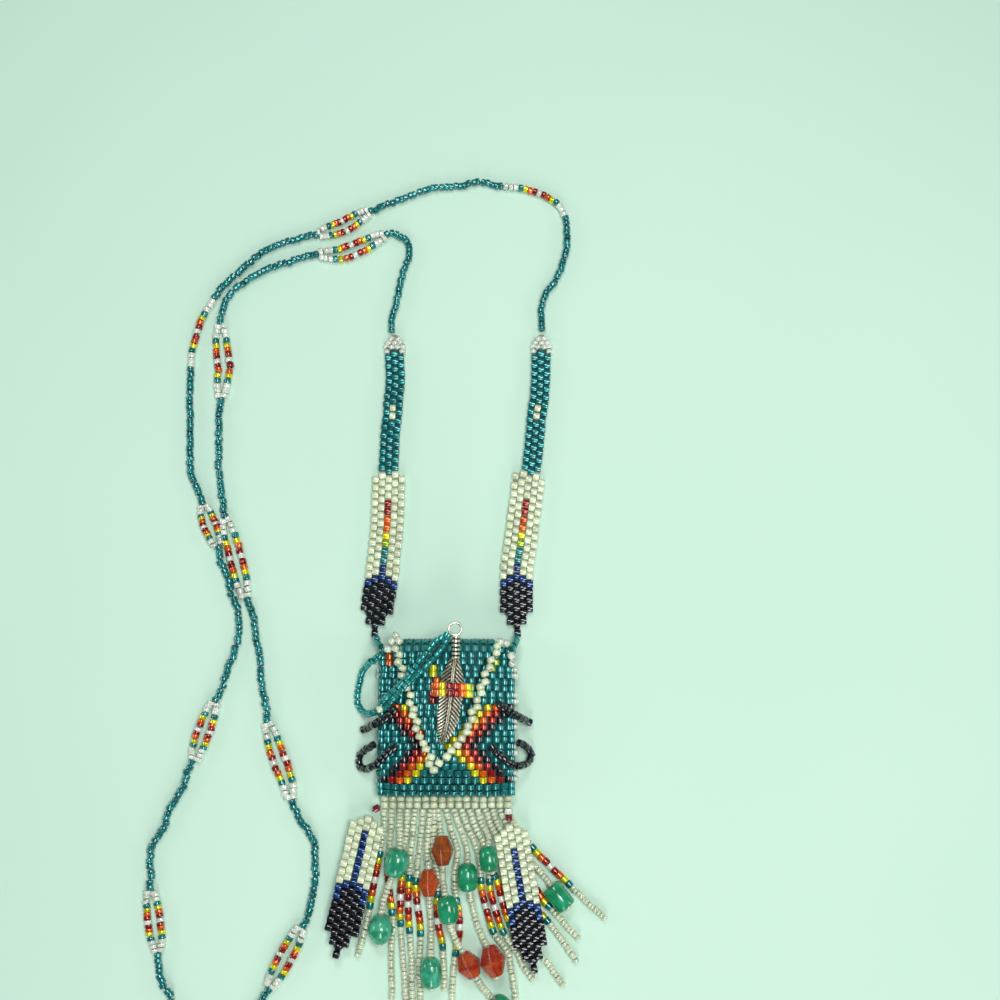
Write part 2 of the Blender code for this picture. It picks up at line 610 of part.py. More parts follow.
def add_base_edging():
    """The row of white beads under the pouch, one to a column, that the fringe hangs from."""
    step = COLUMN_PITCH / 2
    top_y = POUCH_BOTTOM_Y - GAP

    def top(i, j):
        groove = GROOVE if i % 2 == 0 else 0.0
        return (-HALF_WIDTH + step * i, top_y - BASE_EDGING_LENGTH * j, GAP + THICKNESS - groove)

    def under(i, j):
        return (-HALF_WIDTH + step * i, top_y - BASE_EDGING_LENGTH * j, GAP)

    columns = 2 * POUCH_COLUMNS

    def kept(i, j):
        return 0 <= i < columns and j == 0

    return add_sheet("base_edging", columns, 1, kept, top, under, lambda i, j: "white", flat=True)


def add_toggle_band():
    """A woven bridge over the feather: an arch of two rows of beads with its feet on the flap."""
    middle = at_pixel(451, 690, 11.0)
    foot_z = front_height(BAND_HALF_WIDTH, middle[1]) + GAP + THICKNESS + GAP
    wall = 1.2
    stations = 12
    rings = []
    for k in range(stations + 1):
        angle = math.pi * k / stations
        cosine, sine = -math.cos(angle), math.sin(angle) ** 0.6
        ring = []
        for share, y in [(1, 0.5), (0.86, 0.0), (1, -0.5)]:
            x = (BAND_HALF_WIDTH - (1 - share) * wall) * cosine
            z = (BAND_HEIGHT - (1 - share) * wall) * sine
            ring.append((middle[0] + x, middle[1] + BAND_LENGTH * y, foot_z + z))
        for y in (-0.5, 0.5):
            x = (BAND_HALF_WIDTH - wall) * cosine
            z = (BAND_HEIGHT - wall) * sine
            ring.append((middle[0] + x, middle[1] + BAND_LENGTH * y, foot_z + z))
        rings.append(ring)
    colours = ["orange", "orange", "yellow", "yellow", "red", "red"]
    return add_rings("toggle_band", rings, lambda i, k: (colours + colours[::-1])[i])


def add_feather():
    """A cast feather: a barbed blade with a raised spine, a coiled neck and a hanging ring, in one piece."""
    stations = 25
    middle = smooth_curve(places([p[:2] for p in FEATHER_BLADE], FEATHER_Z))
    lengths = arc_lengths(middle)
    knots = np.linspace(0.0, lengths[-1], len(FEATHER_BLADE))
    scale = CAMERA_AWAY * math.cos(CAMERA_TILT) / FOCAL_PIXELS
    widths = [p[2] * scale for p in FEATHER_BLADE]
    distances = np.linspace(0.0, lengths[-1], stations)
    spine = along(middle, distances)
    rings = []
    for k, place in enumerate(spine):
        heading = spine[min(k + 1, stations - 1)] - spine[max(k - 1, 0)]
        heading /= np.linalg.norm(heading)
        across = np.array([-heading[1], heading[0], 0.0])
        wide = float(np.interp(distances[k], knots, widths))
        barb = 1.0 if k % 2 else 0.84
        raised = 0.12 if k % 2 else -0.08
        ring = []
        for share, z in [
            (-1.0, 0.0), (-1.0, FEATHER_EDGE), (-0.55, 0.7 + raised), (-0.14, 0.72),
            (0.0, FEATHER_SPINE), (0.14, 0.72), (0.55, 0.7 + raised), (1.0, FEATHER_EDGE), (1.0, 0.0),
        ]:  # fmt: skip
            swept = heading * 0.35 * abs(share) * min(1.0, wide)
            reach = share * wide * (barb if abs(share) > 0.9 else 1.0)
            ring.append(place + across * reach + swept + [0.0, 0.0, z])
        rings.append(ring)
    blade = add_rings("feather_charm", rings, lambda i, k: "silver")

    coils = 11
    ends = places(FEATHER_NECK, FEATHER_Z + 0.8)
    neck_rings = []
    for k in range(coils):
        place = ends[0] + (ends[1] - ends[0]) * k / (coils - 1)
        size = 0.8 if k % 2 else 0.62
        angles = [2 * math.pi * n / 8 for n in range(8)]
        neck_rings.append([place + [size * math.cos(a), 0.0, size * math.sin(a)] for a in angles])
    neck = add_rings("feather_neck", neck_rings, lambda i, k: "silver")

    hub = at_pixel(*FEATHER_RING, FEATHER_Z + 0.8)
    loop_rings = []
    for k in range(14):
        turn = 2 * math.pi * k / 14
        outward = np.array([math.cos(turn), math.sin(turn), 0.0])
        angles = [2 * math.pi * n / 6 for n in range(6)]
        ring = []
        for angle in angles:
            reach = RING_RADIUS + RING_WIRE * math.cos(angle)
            ring.append(hub + outward * reach + [0.0, 0.0, RING_WIRE * math.sin(angle)])
        loop_rings.append(ring)
    loop = add_rings("feather_ring", loop_rings, lambda i, k: "silver", closed=True)

    for helper in (neck, loop):
        helper.hide_render = True
        helper.display_type = "WIRE"
        join = blade.modifiers.new("Join " + helper.name, "BOOLEAN")
        join.operation = "UNION"
        join.solver = "EXACT"
        join.object = helper
    return blade


def add_band(name, axis, plan, height, colour):
    """A flat woven band along an axis. Rows are half a bead apart from one column to the next.

    plan lists (half rows, beads across). colour(column, half row) names a bead's finish.
    """
    lines = [-2.5, -2.0, -1.5, -1.0, 0.0, 1.0, 1.5, 2.0, 2.5]
    columns = [-2, -2, -1, -1, 0, 1, 1, 2]
    narrow = {5: range(0, 8), 3: range(2, 6), 1: range(3, 5)}
    width = [beads for half_rows, beads in plan for _ in range(half_rows)]
    curve = smooth_curve(places(axis, height))
    distances = np.linspace(0.0, arc_lengths(curve)[-1], len(width) + 1)
    middle = along(curve, distances)
    headings = np.gradient(middle, axis=0)
    headings /= np.linalg.norm(headings, axis=1)[:, None]

    def place(i, j, z):
        single = width[min(j, len(width) - 1)] == 1
        share = lines[i] / 2 if single else lines[i]
        across = np.array([-headings[j][1], headings[j][0], 0.0])
        return middle[j] + across * share * BEAD_LENGTH + [0.0, 0.0, z]

    def top(i, j):
        if lines[i] % 1:
            return place(i, j, THICKNESS - GROOVE * 0.7)
        return place(i, j, THICKNESS - (GROOVE if (i // 2 + j) % 2 else 0.0))

    def under(i, j):
        return place(i, j, 0.0)

    def kept(i, j):
        return 0 <= j < len(width) and i in narrow[width[j]]

    return add_sheet(name, 8, len(width), kept, top, under, lambda i, j: colour(columns[i], j), flat=True)


def strap_colour(column, half_row):
    """White cap, teal with two white beads, white with a spine of colours, and a dark tip."""
    if half_row < 4:
        return "white"
    if half_row < 36:
        return "white" if column == 0 and 18 <= half_row < 22 else "teal"
    if half_row < 61:
        spine = (half_row - 41) // 2
        return SPINE[spine] if column == 0 and 0 <= spine < len(SPINE) else "white"
    return "blue" if half_row < 62 + abs(column) else "gunmetal"


def pendant_colour(column, half_row):
    """White with a blue spine and shoulders, and a dark tip."""
    if half_row < 17:
        return "blue" if column == 0 and half_row >= 4 else "white"
    return "blue" if half_row < 18 + abs(column) else "gunmetal"


def fringe_route(strand):
    """A fringe strand's route, which starts just below the base edging."""
    route = places(FRINGE[strand - 1], FRINGE_Z)
    route[0][1] = BASE_BOTTOM_Y - 2 * GAP
    return route


def accent_heading(route, point):
    heading = route[min(point + 1, len(route) - 1)] - route[point - 1]
    return heading / np.linalg.norm(heading)


def add_fringe(strand):
    """A fringe strand as a tube, which runs straight through each accent bead on it."""
    route = fringe_route(strand)
    curve = smooth_curve(route)
    lengths = arc_lengths(curve)
    distances = np.linspace(0.0, lengths[-1], round(lengths[-1] / (2.5 * STRAND_DIAMETER)) + 1)
    stops = dict(zip(distances, along(curve, distances)))
    for _, on_strand, point, _, _, _, length in ACCENTS:
        if on_strand != strand:
            continue
        middle = lengths[point * CURVE_STEPS]
        reach = length / 2 + 2 * GAP
        stops = {d: p for d, p in stops.items() if abs(d - middle) > reach + 0.6}
        for side in (-reach, reach):
            stops[middle + side] = route[point] + side * accent_heading(route, point)
    points = [stops[d] for d in sorted(stops)]
    return add_tube(f"fringe_{strand:02d}", points, STRAND_DIAMETER, "white")


def add_accent(name, strand, point, finish, profile, width, length):
    """A turned glass bead with its bore around the strand it is threaded on."""
    route = fringe_route(strand)
    heading = accent_heading(route, point)
    across = np.cross(heading, [0.0, 0.0, 1.0])
    across /= np.linalg.norm(across)
    upward = np.cross(across, heading)
    section = [(t * length / 2, max(r * width / 2, ACCENT_BORE / 2 + 0.25)) for t, r in PROFILES[profile]]
    section += [(length / 2, ACCENT_BORE / 2), (-length / 2, ACCENT_BORE / 2)]
    rings = []
    for k in range(8):
        turn = 2 * math.pi * (k + 0.5) / 8
        out = math.cos(turn) * across + math.sin(turn) * upward
        rings.append([route[point] + heading * t + out * r for t, r in section])
    return add_rings(name, rings, lambda i, k: finish, closed=True)


clear_scene()
MATERIALS = make_finishes()
POUCH_BOTTOM_Y = pouch_rows()[-1]
BASE_BOTTOM_Y = POUCH_BOTTOM_Y - GAP - BASE_EDGING_LENGTH

add_pouch()
add_flap()
add_flap_edging()
add_side_edging("side_edging_left", -1)
add_side_edging("side_edging_right", 1)
add_base_edging()
add_toggle_band()
add_feather()

add_band("strap_left", STRAP_LEFT_AXIS, STRAP_PLAN, 0.0, strap_colour)
add_band("strap_right", STRAP_RIGHT_AXIS, STRAP_PLAN, 0.0, strap_colour)
add_band("pendant_left", PENDANT_LEFT_AXIS, PENDANT_PLAN, 1.6, pendant_colour)
add_band("pendant_right", PENDANT_RIGHT_AXIS, PENDANT_PLAN, 1.6, pendant_colour)
add_strand("strap_link_left", STRAP_LINK_LEFT, 0.0, TETHER_DIAMETER, "teal")
add_strand("strap_link_right", STRAP_LINK_RIGHT, 0.0, TETHER_DIAMETER, "teal")
add_strand("pendant_link_left", PENDANT_LINK_LEFT, 0.0, TETHER_DIAMETER, "red")
add_strand("pendant_link_right", PENDANT_LINK_RIGHT, 0.0, TETHER_DIAMETER, "red")

add_strand("loop_left_upper", LOOP_LEFT_UPPER, 0.0, LOOP_DIAMETER, "gunmetal")
add_strand("loop_right_upper", LOOP_RIGHT_UPPER, 0.0, LOOP_DIAMETER, "gunmetal")
add_strand("loop_left_lower", LOOP_LEFT_LOWER, 0.0, LOOP_DIAMETER, "gunmetal")
add_strand("loop_right_lower", LOOP_RIGHT_LOWER, 0.0, LOOP_DIAMETER, "gunmetal")
add_strand("tether_loop", TETHER, 0.0, TETHER_DIAMETER, "teal")

for strand in range(1, len(FRINGE) + 1):
    add_fringe(strand)
for accent in ACCENTS:
    add_accent(*accent)

neck_curve = smooth_curve(places(NECK, NECK_Z))
add_tube("neck_strand", lay_points(neck_curve, 3.0, 11.0, math.radians(16)), NECK_DIAMETER, "teal")
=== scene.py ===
"""Looks of the beaded medicine bag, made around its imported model.

Every bead is made here: woven panels are rows of cylinder beads set half a bead apart from one column to the
next, and strands are beads threaded along the routes of the part. Sizes are in metres; the routes are written
as the photograph's columns and rows with a height in millimetres, and at_pixel() turns them into places.
"""
import math

import bpy
import numpy as np
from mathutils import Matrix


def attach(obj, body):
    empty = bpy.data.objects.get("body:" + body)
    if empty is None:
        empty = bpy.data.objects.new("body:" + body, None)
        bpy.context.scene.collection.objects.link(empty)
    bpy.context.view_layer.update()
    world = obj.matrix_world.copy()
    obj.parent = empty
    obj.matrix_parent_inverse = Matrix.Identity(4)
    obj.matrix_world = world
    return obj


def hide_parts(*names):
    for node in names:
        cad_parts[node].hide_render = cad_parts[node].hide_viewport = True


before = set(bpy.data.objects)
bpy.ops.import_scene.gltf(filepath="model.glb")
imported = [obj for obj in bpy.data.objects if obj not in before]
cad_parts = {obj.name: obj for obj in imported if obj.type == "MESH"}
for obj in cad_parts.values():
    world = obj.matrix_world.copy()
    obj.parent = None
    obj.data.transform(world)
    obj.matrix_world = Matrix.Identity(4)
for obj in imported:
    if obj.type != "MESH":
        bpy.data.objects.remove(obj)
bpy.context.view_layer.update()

MM = 0.001
CHANCE = np.random.default_rng(11)  # the beads' small differences, the same each run

# Camera and routes

PHOTO_PIXELS = 1000.0
FOCAL_PIXELS = 1389.0
CAMERA_AWAY = 0.278
CAMERA_TILT = math.atan(0.18)
AIM_X, AIM_Y = 0.0103, 0.0444
CURVE_STEPS = 12

SINE, COSINE = math.sin(CAMERA_TILT), math.cos(CAMERA_TILT)
CAMERA_PLACE = np.array([AIM_X, AIM_Y - CAMERA_AWAY * SINE, CAMERA_AWAY * COSINE])

view = bpy.data.cameras.new("camera")
view.lens = view.sensor_width * FOCAL_PIXELS / PHOTO_PIXELS
camera = bpy.data.objects.new("camera", view)
camera.location = CAMERA_PLACE
camera.rotation_euler = (CAMERA_TILT, 0.0, 0.0)
bpy.context.scene.collection.objects.link(camera)
bpy.context.scene.camera = camera


def at_pixel(column, row, height=0.0):
    """The place at a height in millimetres that the camera sees at this column and row."""
    across, up = np.array([column - PHOTO_PIXELS / 2, PHOTO_PIXELS / 2 - row]) / FOCAL_PIXELS
    ray = np.array([across, up * COSINE + SINE, up * SINE - COSINE])
    return CAMERA_PLACE + ray * (height * MM - CAMERA_PLACE[2]) / ray[2]


def places(points, height=0.0):
    """Places of (column, row) or (column, row, height) points."""
    return np.array([at_pixel(p[0], p[1], p[2] if len(p) > 2 else height) for p in points])


def smooth_curve(points):
    """Catmull-Rom: between b and c the curve is half of 2b + (c-a)t + (2a-5b+4c-d)t2 + (3b-a-3c+d)t3."""
    padded = np.vstack([2 * points[0] - points[1], points, 2 * points[-1] - points[-2]])
    a, b, c, d = (padded[k : len(padded) - 3 + k, None, :] for k in range(4))
    t = np.linspace(0.0, 1.0, CURVE_STEPS, endpoint=False)[None, :, None]
    curve = 0.5 * (2 * b + (c - a) * t + (2 * a - 5 * b + 4 * c - d) * t**2 + (3 * b - a - 3 * c + d) * t**3)
    return np.vstack([curve.reshape(-1, 3), points[-1]])


def unit(vectors):
    """The vectors, each made one long."""
    return vectors / np.linalg.norm(vectors, axis=-1, keepdims=True)


def leftward(heading):
    """Level directions square to these headings, to their left: (-y, x, 0)."""
    return np.stack([-heading[:, 1], heading[:, 0], np.zeros(len(heading))], -1)


def circle(count, start=0.0):
    """Angles of equal steps around a full turn, the first at this share of a step."""
    return 2 * np.pi * (np.arange(count) + start) / count


def spokes(turn, side, third):
    """Directions around an axis: cos(turn) times one side plus sin(turn) times the other."""
    turn = turn[:, None]
    return np.cos(turn) * side[..., None, :] + np.sin(turn) * third[..., None, :]


def arc_lengths(curve):
    """Length of the curve up to each of its points."""
    return np.concatenate([[0.0], np.cumsum(np.linalg.norm(np.diff(curve, axis=0), axis=1))])


def along(curve, distances):
    """Points of the curve at these lengths from its start."""
    lengths = arc_lengths(curve)
    return np.stack([np.interp(distances, lengths, curve[:, k]) for k in range(3)], axis=-1)


def headings(curve, distances, reach=0.35 * MM):
    """Unit directions of the curve at these distances, from a point just before to one just after."""
    return unit(along(curve, np.asarray(distances) + reach) - along(curve, np.asarray(distances) - reach))


def nearest_distance(curve, place):
    """How far along the curve its point nearest the place, seen from above, lies."""
    return arc_lengths(curve)[np.argmin(np.linalg.norm(curve[:, :2] - place[:2], axis=1))]


STRAP_LEFT_AXIS = [
    (395, 336), (394.8, 357), (395.7, 383), (393.7, 402), (392.6, 420), (390.6, 433), (389.6, 453),
    (388.8, 471), (389.3, 480), (388.5, 505), (387.5, 525), (386, 545), (383.8, 564), (381.5, 585),
    (378.5, 602), (376.2, 618), (375, 634),
]
STRAP_RIGHT_AXIS = [
    (541.4, 336), (541.2, 355), (540.4, 381), (538.9, 402), (536.6, 417), (535.4, 432), (533.2, 453),
    (530.7, 473), (528.5, 481), (526.3, 500), (524.2, 516), (520.4, 545), (517, 568), (516.5, 585),
    (516.5, 608), (516.8, 620), (517.2, 634),
]
PENDANT_LEFT_AXIS = [(370, 815), (358, 865), (346, 916), (336, 958)]
PENDANT_RIGHT_AXIS = [(509, 823.5), (517, 868), (526, 920), (535, 973)]
STRAP_LINK_LEFT = [(376, 637, 1.1), (376.8, 640, 2.7), (378.5, 644, 4.3), (381.5, 647.5, 5.2)]
STRAP_LINK_RIGHT = [(516.3, 637, 1.1), (516, 641, 2.9), (514.5, 645, 4.5), (511, 650, 5.4)]
PENDANT_LINK_LEFT = [(380, 806, 2.8), (372.5, 811, 2.4)]
PENDANT_LINK_RIGHT = [(508, 808, 2.85), (509.2, 820.5, 2.4)]
LOOP_LEFT_UPPER = [
    (397, 708, 6.9), (389, 716, 6.0), (381, 721, 5.0), (374.5, 724, 4.0), (367.5, 728, 1.9), (361, 731, 0.8),
]
LOOP_RIGHT_UPPER = [
    (497, 703, 6.9), (505, 709, 5.9), (513, 714, 4.8), (519, 717, 3.7), (526, 720, 1.6), (532, 723, 0.8),
]
LOOP_LEFT_LOWER = [
    (397, 745, 6.9), (388, 753, 5.8), (380, 761, 4.9), (373, 766, 4.1), (366, 769, 1.9), (360, 766, 0.8),
    (359, 758, 0.8), (362.5, 752, 1.1), (368.5, 748, 3.0), (375, 744, 4.2),
]
LOOP_RIGHT_LOWER = [
    (490, 745, 7.4), (497, 753, 6.8), (505, 760, 6.0), (512, 764, 5.1), (520, 766, 4.0), (527, 763, 1.8),
    (531, 757, 0.8), (529, 750, 1.2), (523.5, 745, 3.2), (517.5, 743, 4.4),
]
TETHER = [
    (381.5, 654, 5.0), (374.5, 659, 4.2), (367, 665, 2.0), (362, 673, 0.8), (359.5, 683, 0.75),
    (358, 695, 0.75), (358.5, 705, 0.75), (364, 712, 1.4), (371.5, 713, 3.5), (380, 709, 4.9),
    (386, 703, 5.9), (394, 694, 7.6), (403, 685, 9.4), (413, 675, 10.1), (424, 662, 10.5),
    (435, 649, 10.5), (445, 638, 10.5), (449.3, 633.6, 10.55),
]
NECK = [
    (391.3, 332), (392, 318), (396, 304), (400, 286), (404, 270), (409, 256), (407, 241), (393, 233),
    (385, 235), (374, 240), (364, 245), (353, 250), (342, 253.5), (331, 254.5), (319, 254.5),
    (302, 257), (288, 262), (270, 268), (254, 277), (239, 286), (228, 297), (222, 312),
    (221, 324), (222, 350), (224, 367), (222, 382), (221, 398),
    (219, 420), (219, 445), (219, 470), (221, 491), (223, 507),
    (225, 518), (233, 548), (241, 578), (246, 598),
    (253, 614), (256, 636), (260, 660), (262, 685), (266, 706),
    (268, 722), (273, 740), (279, 760), (287, 781), (291, 800),
    (299, 818), (308, 830), (314, 848), (315, 870), (314, 890), (311, 905), (305, 921),
    (302, 927), (286, 957), (269, 988),
    (262, 1000), (250, 1030), (246, 1080), (248, 1130), (252, 1180), (250, 1230), (232, 1268),
    (205, 1280), (178, 1268), (160, 1230), (156, 1180), (160, 1130), (166, 1080), (171, 1030),
    (171, 1000), (163, 984), (159, 972),
    (158, 952), (155, 928), (150, 890),
    (151, 876), (150, 860), (152, 847), (158, 836), (165, 826), (167, 815), (175, 800), (183, 786),
    (188, 770), (194, 760), (198, 748), (206, 725), (215, 702),
    (224, 682), (228, 667), (236, 648), (239, 628), (238, 612), (231, 592), (227, 576), (221, 562),
    (218, 545), (210, 526), (203, 505),
    (197, 488), (191, 473), (190, 450), (190, 420), (190, 395), (191, 372), (192, 353), (196, 337),
    (199, 325), (206, 312), (215, 297), (226, 283), (240, 271), (257, 256), (275, 246), (293, 240),
    (307, 236), (318, 234), (327, 231), (339, 228), (348, 224), (358, 218), (369, 212),
    (380, 207), (394, 201), (408, 197), (424, 191), (440, 187), (458, 187), (478, 182), (494, 185),
    (508, 187), (522, 188), (536, 192), (549, 198), (560, 207), (566, 222), (567, 240), (564, 258),
    (556, 280), (547, 292), (541, 309), (541.5, 321), (541.5, 331.5),
]
FRINGE = [
    [(384, 813), (384, 825), (382, 840), (379, 858), (375, 878), (371, 900), (367, 922), (362, 942),
     (357, 957)],
    [(391.8, 813), (391, 830), (389, 850), (387.5, 865), (389, 888), (391.5, 905), (393, 925), (391.5, 950),
     (392, 1000)],
    [(399.5, 813), (399.5, 828, 1.5), (400, 845, 2.5), (396.5, 863, 4.0), (391, 880, 2.3), (385.5, 895, 2.3),
     (381.5, 912, 2.5), (380.5, 929, 2.9), (379, 946, 1.6)],
    [(407, 813), (406.5, 830), (404, 848), (403, 865), (401.5, 880), (400.5, 897), (400, 915), (401, 935),
     (403, 960), (405, 985), (406, 1008)],
    [(415, 813), (413.5, 830), (411.5, 850), (410, 868), (408.8, 885), (408, 900), (408.5, 918), (410, 938),
     (412, 962), (412, 985), (413, 1010)],
    [(422.8, 813), (421.5, 830), (419.5, 850), (417.5, 868), (416, 880), (416.5, 895), (418, 910),
     (420.5, 928), (420, 950), (419.5, 968), (420, 985), (421, 1008)],
    [(430.5, 813), (428.5, 830), (427.5, 850), (428, 868, 1.6), (429, 883, 2.2), (429, 900, 1.4),
     (430.5, 920), (431, 940), (430.7, 958, 2.2), (430.7, 973, 3.0), (432, 990, 2.0)],
    [(438, 813), (440, 828), (442, 840, 1.8), (442.6, 850.6, 2.6), (442.5, 864, 1.9), (443, 878, 1.0),
     (445, 893, 2.4), (448, 910, 2.8), (450, 925, 2.7), (456, 940, 2.2), (463, 953, 2.1), (469, 965, 2.4),
     (477, 979, 2.0), (487, 992, 1.0), (496, 1001, 2.2), (503, 1009, 2.4), (510, 1018, 1.2)],
    [(446, 813), (450, 826), (454, 838), (458, 850), (456.5, 862), (454.5, 876), (455, 890),
     (457.5, 905), (459.5, 918), (459.5, 930), (458, 941), (456, 953), (454, 968), (452.5, 985),
     (452, 1008)],
    [(453.8, 813), (459, 826), (464, 838), (467, 850), (467.5, 864, 1.6), (467.5, 877.5, 2.4),
     (470, 893, 1.4), (473, 908), (477, 924), (483, 938, 1.2), (488, 949, 2.0), (493, 961, 2.7),
     (496, 979, 1.8)],
    [(461.5, 813), (467, 826), (473, 838), (477, 850), (480, 864), (481, 878), (482, 892), (485.5, 906),
     (489.5, 920), (494.5, 934), (502, 944), (508, 953), (511, 968), (514, 985), (516, 1005)],
    [(469, 813), (475, 826), (481, 838), (485.5, 850), (488.5, 864), (489.5, 878), (490.5, 892),
     (494, 905), (498, 918), (503, 931), (510.5, 942), (517, 953), (524, 967), (534, 980)],
    [(477, 813), (482.5, 825), (488.5, 836), (489, 846, 1.9), (488.5, 859, 3.2), (492, 870, 2.4),
     (498, 882, 1.0), (500, 893), (503.5, 905), (507, 916), (512, 928), (520, 942), (532, 952),
     (545, 960), (556, 975), (564, 986)],
    [(484.8, 813), (491, 825), (498, 838), (504, 851), (509, 866), (514, 880), (520, 893), (529, 904),
     (541, 914), (551.5, 926), (560, 937), (568, 948), (577.5, 962)],
    [(492.5, 813), (497.5, 824), (505, 836), (513, 849), (520, 862), (528, 875), (536, 888), (543, 900),
     (551, 908), (560, 918), (569.5, 929), (579.5, 938.5)],
    [(500, 813), (505.5, 823), (512.5, 833), (520, 844), (527, 855), (534, 865), (542, 874), (550, 884),
     (559, 897, 2.1), (569, 908, 1.0)],
    [(508, 813), (514, 823), (522, 833), (528, 842), (534, 849), (541, 857), (549, 865), (557, 873),
     (565, 880), (572, 887), (582, 897), (594, 908), (606, 919)],
    [(434.2, 813), (434, 832), (433.6, 850), (435.5, 866), (438.5, 883), (437.5, 897), (437.3, 908.4),
     (437.8, 919.3), (438.6, 926.3), (439.6, 931.4), (441.5, 937.8), (442.5, 944.1), (443, 955), (444, 970),
     (444.4, 991)],
]
PART_STRANDS = 17  # the last strand is only made here: it lies half hidden between the seventh and the eighth

# Accent beads: name, strand (from 1), point (from 0) it is threaded at, colour, form, width, length
ACCENTS = [
    ("green_oval_left", 3, 3, "emerald", "oval", 4.8, 5.3),
    ("green_diamond_left", 3, 7, "emerald", "diamond", 5.0, 5.3),
    ("green_oval_middle", 10, 5, "grass", "oval", 4.1, 5.1),
    ("green_oval_lower", 8, 7, "grass", "oval", 4.1, 5.0),
    ("green_oval_low_left", 7, 9, "emerald", "oval", 4.1, 5.5),
    ("green_slim_right", 13, 4, "grass", "oval", 3.5, 4.6),
    ("green_cylinder_right", 16, 8, "grass", "cylinder", 4.0, 5.0),
    ("green_oval_lowest", 8, 15, "grass", "oval", 4.1, 5.3),
    ("amber_bicone_upper", 8, 3, "amber", "bicone", 4.2, 5.5),
    ("amber_bicone_left", 7, 4, "orange amber", "bicone", 3.9, 5.0),
    ("amber_bicone_low_left", 8, 11, "red amber", "bicone", 4.4, 4.9),
    ("amber_bicone_low_right", 10, 11, "red amber", "bicone", 4.8, 5.6),
]

# Colours and finishes

GLASS_COLOURS = {
    "lined glass": {
        "teal": (0.007, 0.205, 0.208), "sea_teal": (0.012, 0.290, 0.275), "yellow": (0.74, 0.69, 0.008),
        "lime": (0.30, 0.46, 0.015), "orange": (0.76, 0.115, 0.003), "rust": (0.52, 0.095, 0.004),
        "red": (0.29, 0.003, 0.0005), "dark_red": (0.17, 0.003, 0.002), "pink_red": (0.22, 0.012, 0.025),
        "blue": (0.003, 0.040, 0.17),
    },
    "dull glass": {"dull_teal": (0.009, 0.190, 0.180)},
    "pearl": {"white": (0.64, 0.73, 0.49)},
    "frost": {"milky": (0.75, 0.84, 0.59), "clear": (0.80, 0.89, 0.76)},
    "dark steel": {"black": (0.005, 0.006, 0.012), "gunmetal": (0.006, 0.012, 0.017)},
}
PAINT = {name: (colour, finish) for finish, group in GLASS_COLOURS.items() for name, colour in group.items()}
THREAD = {"teal": (0.006, 0.085, 0.09), "cream": (0.42, 0.44, 0.34), "dark": (0.01, 0.012, 0.016)}


def feed(tree, node, given):
    """Inputs of a node, by number or name: a value is set, and a socket is linked."""
    for key, value in given.items():
        if isinstance(value, bpy.types.NodeSocket):
            tree.links.new(value, node.inputs[key])
        else:
            node.inputs[key].default_value = value
    return node


def mix_colours(tree, how, factor, a, b):
    """A colour Mix node; each of factor, a and b is a value or a socket."""
    node = tree.nodes.new("ShaderNodeMix")
    node.data_type, node.blend_type = "RGBA", how
    return feed(tree, node, {0: factor, 6: a, 7: b}).outputs[2]


def calculate(tree, how, a, b=0.0, c=0.0):
    """A Math node; each of a, b and c is a value or a socket."""
    node = tree.nodes.new("ShaderNodeMath")
    node.operation = how
    return feed(tree, node, {0: a, 1: b, 2: c}).outputs[0]


def noise(tree, vector, scale, detail=2.0, distortion=0.0):
    """A Noise node's value, from 0 to 1."""
    given = {"Vector": vector, "Scale": scale, "Detail": detail, "Distortion": distortion}
    return feed(tree, tree.nodes.new("ShaderNodeTexNoise"), given).outputs["Fac"]


def spread(tree, value, low, high, to_low, to_high):
    """Maps low..high of the value to to_low..to_high, and holds it there beyond."""
    given = dict(enumerate((value, low, high, to_low, to_high)))
    return feed(tree, tree.nodes.new("ShaderNodeMapRange"), given).outputs[0]


def bump(tree, height, strength, distance):
    """A Bump node's normal, from a height between 0 and 1."""
    given = {"Height": height, "Strength": strength, "Distance": distance}
    return feed(tree, tree.nodes.new("ShaderNodeBump"), given).outputs["Normal"]


def where(tree, kind="Object"):
    return tree.nodes.new("ShaderNodeTexCoord").outputs[kind]


def own_colour(tree):
    """The colour that each point of a piece carries."""
    node = tree.nodes.new("ShaderNodeAttribute")
    node.attribute_name = "bead_colour"
    return node.outputs["Color"]


def new_material(name):
    """A material, its tree and its shader."""
    material = bpy.data.materials.new(name)
    material.use_nodes = True
    return material, material.node_tree, material.node_tree.nodes["Principled BSDF"]


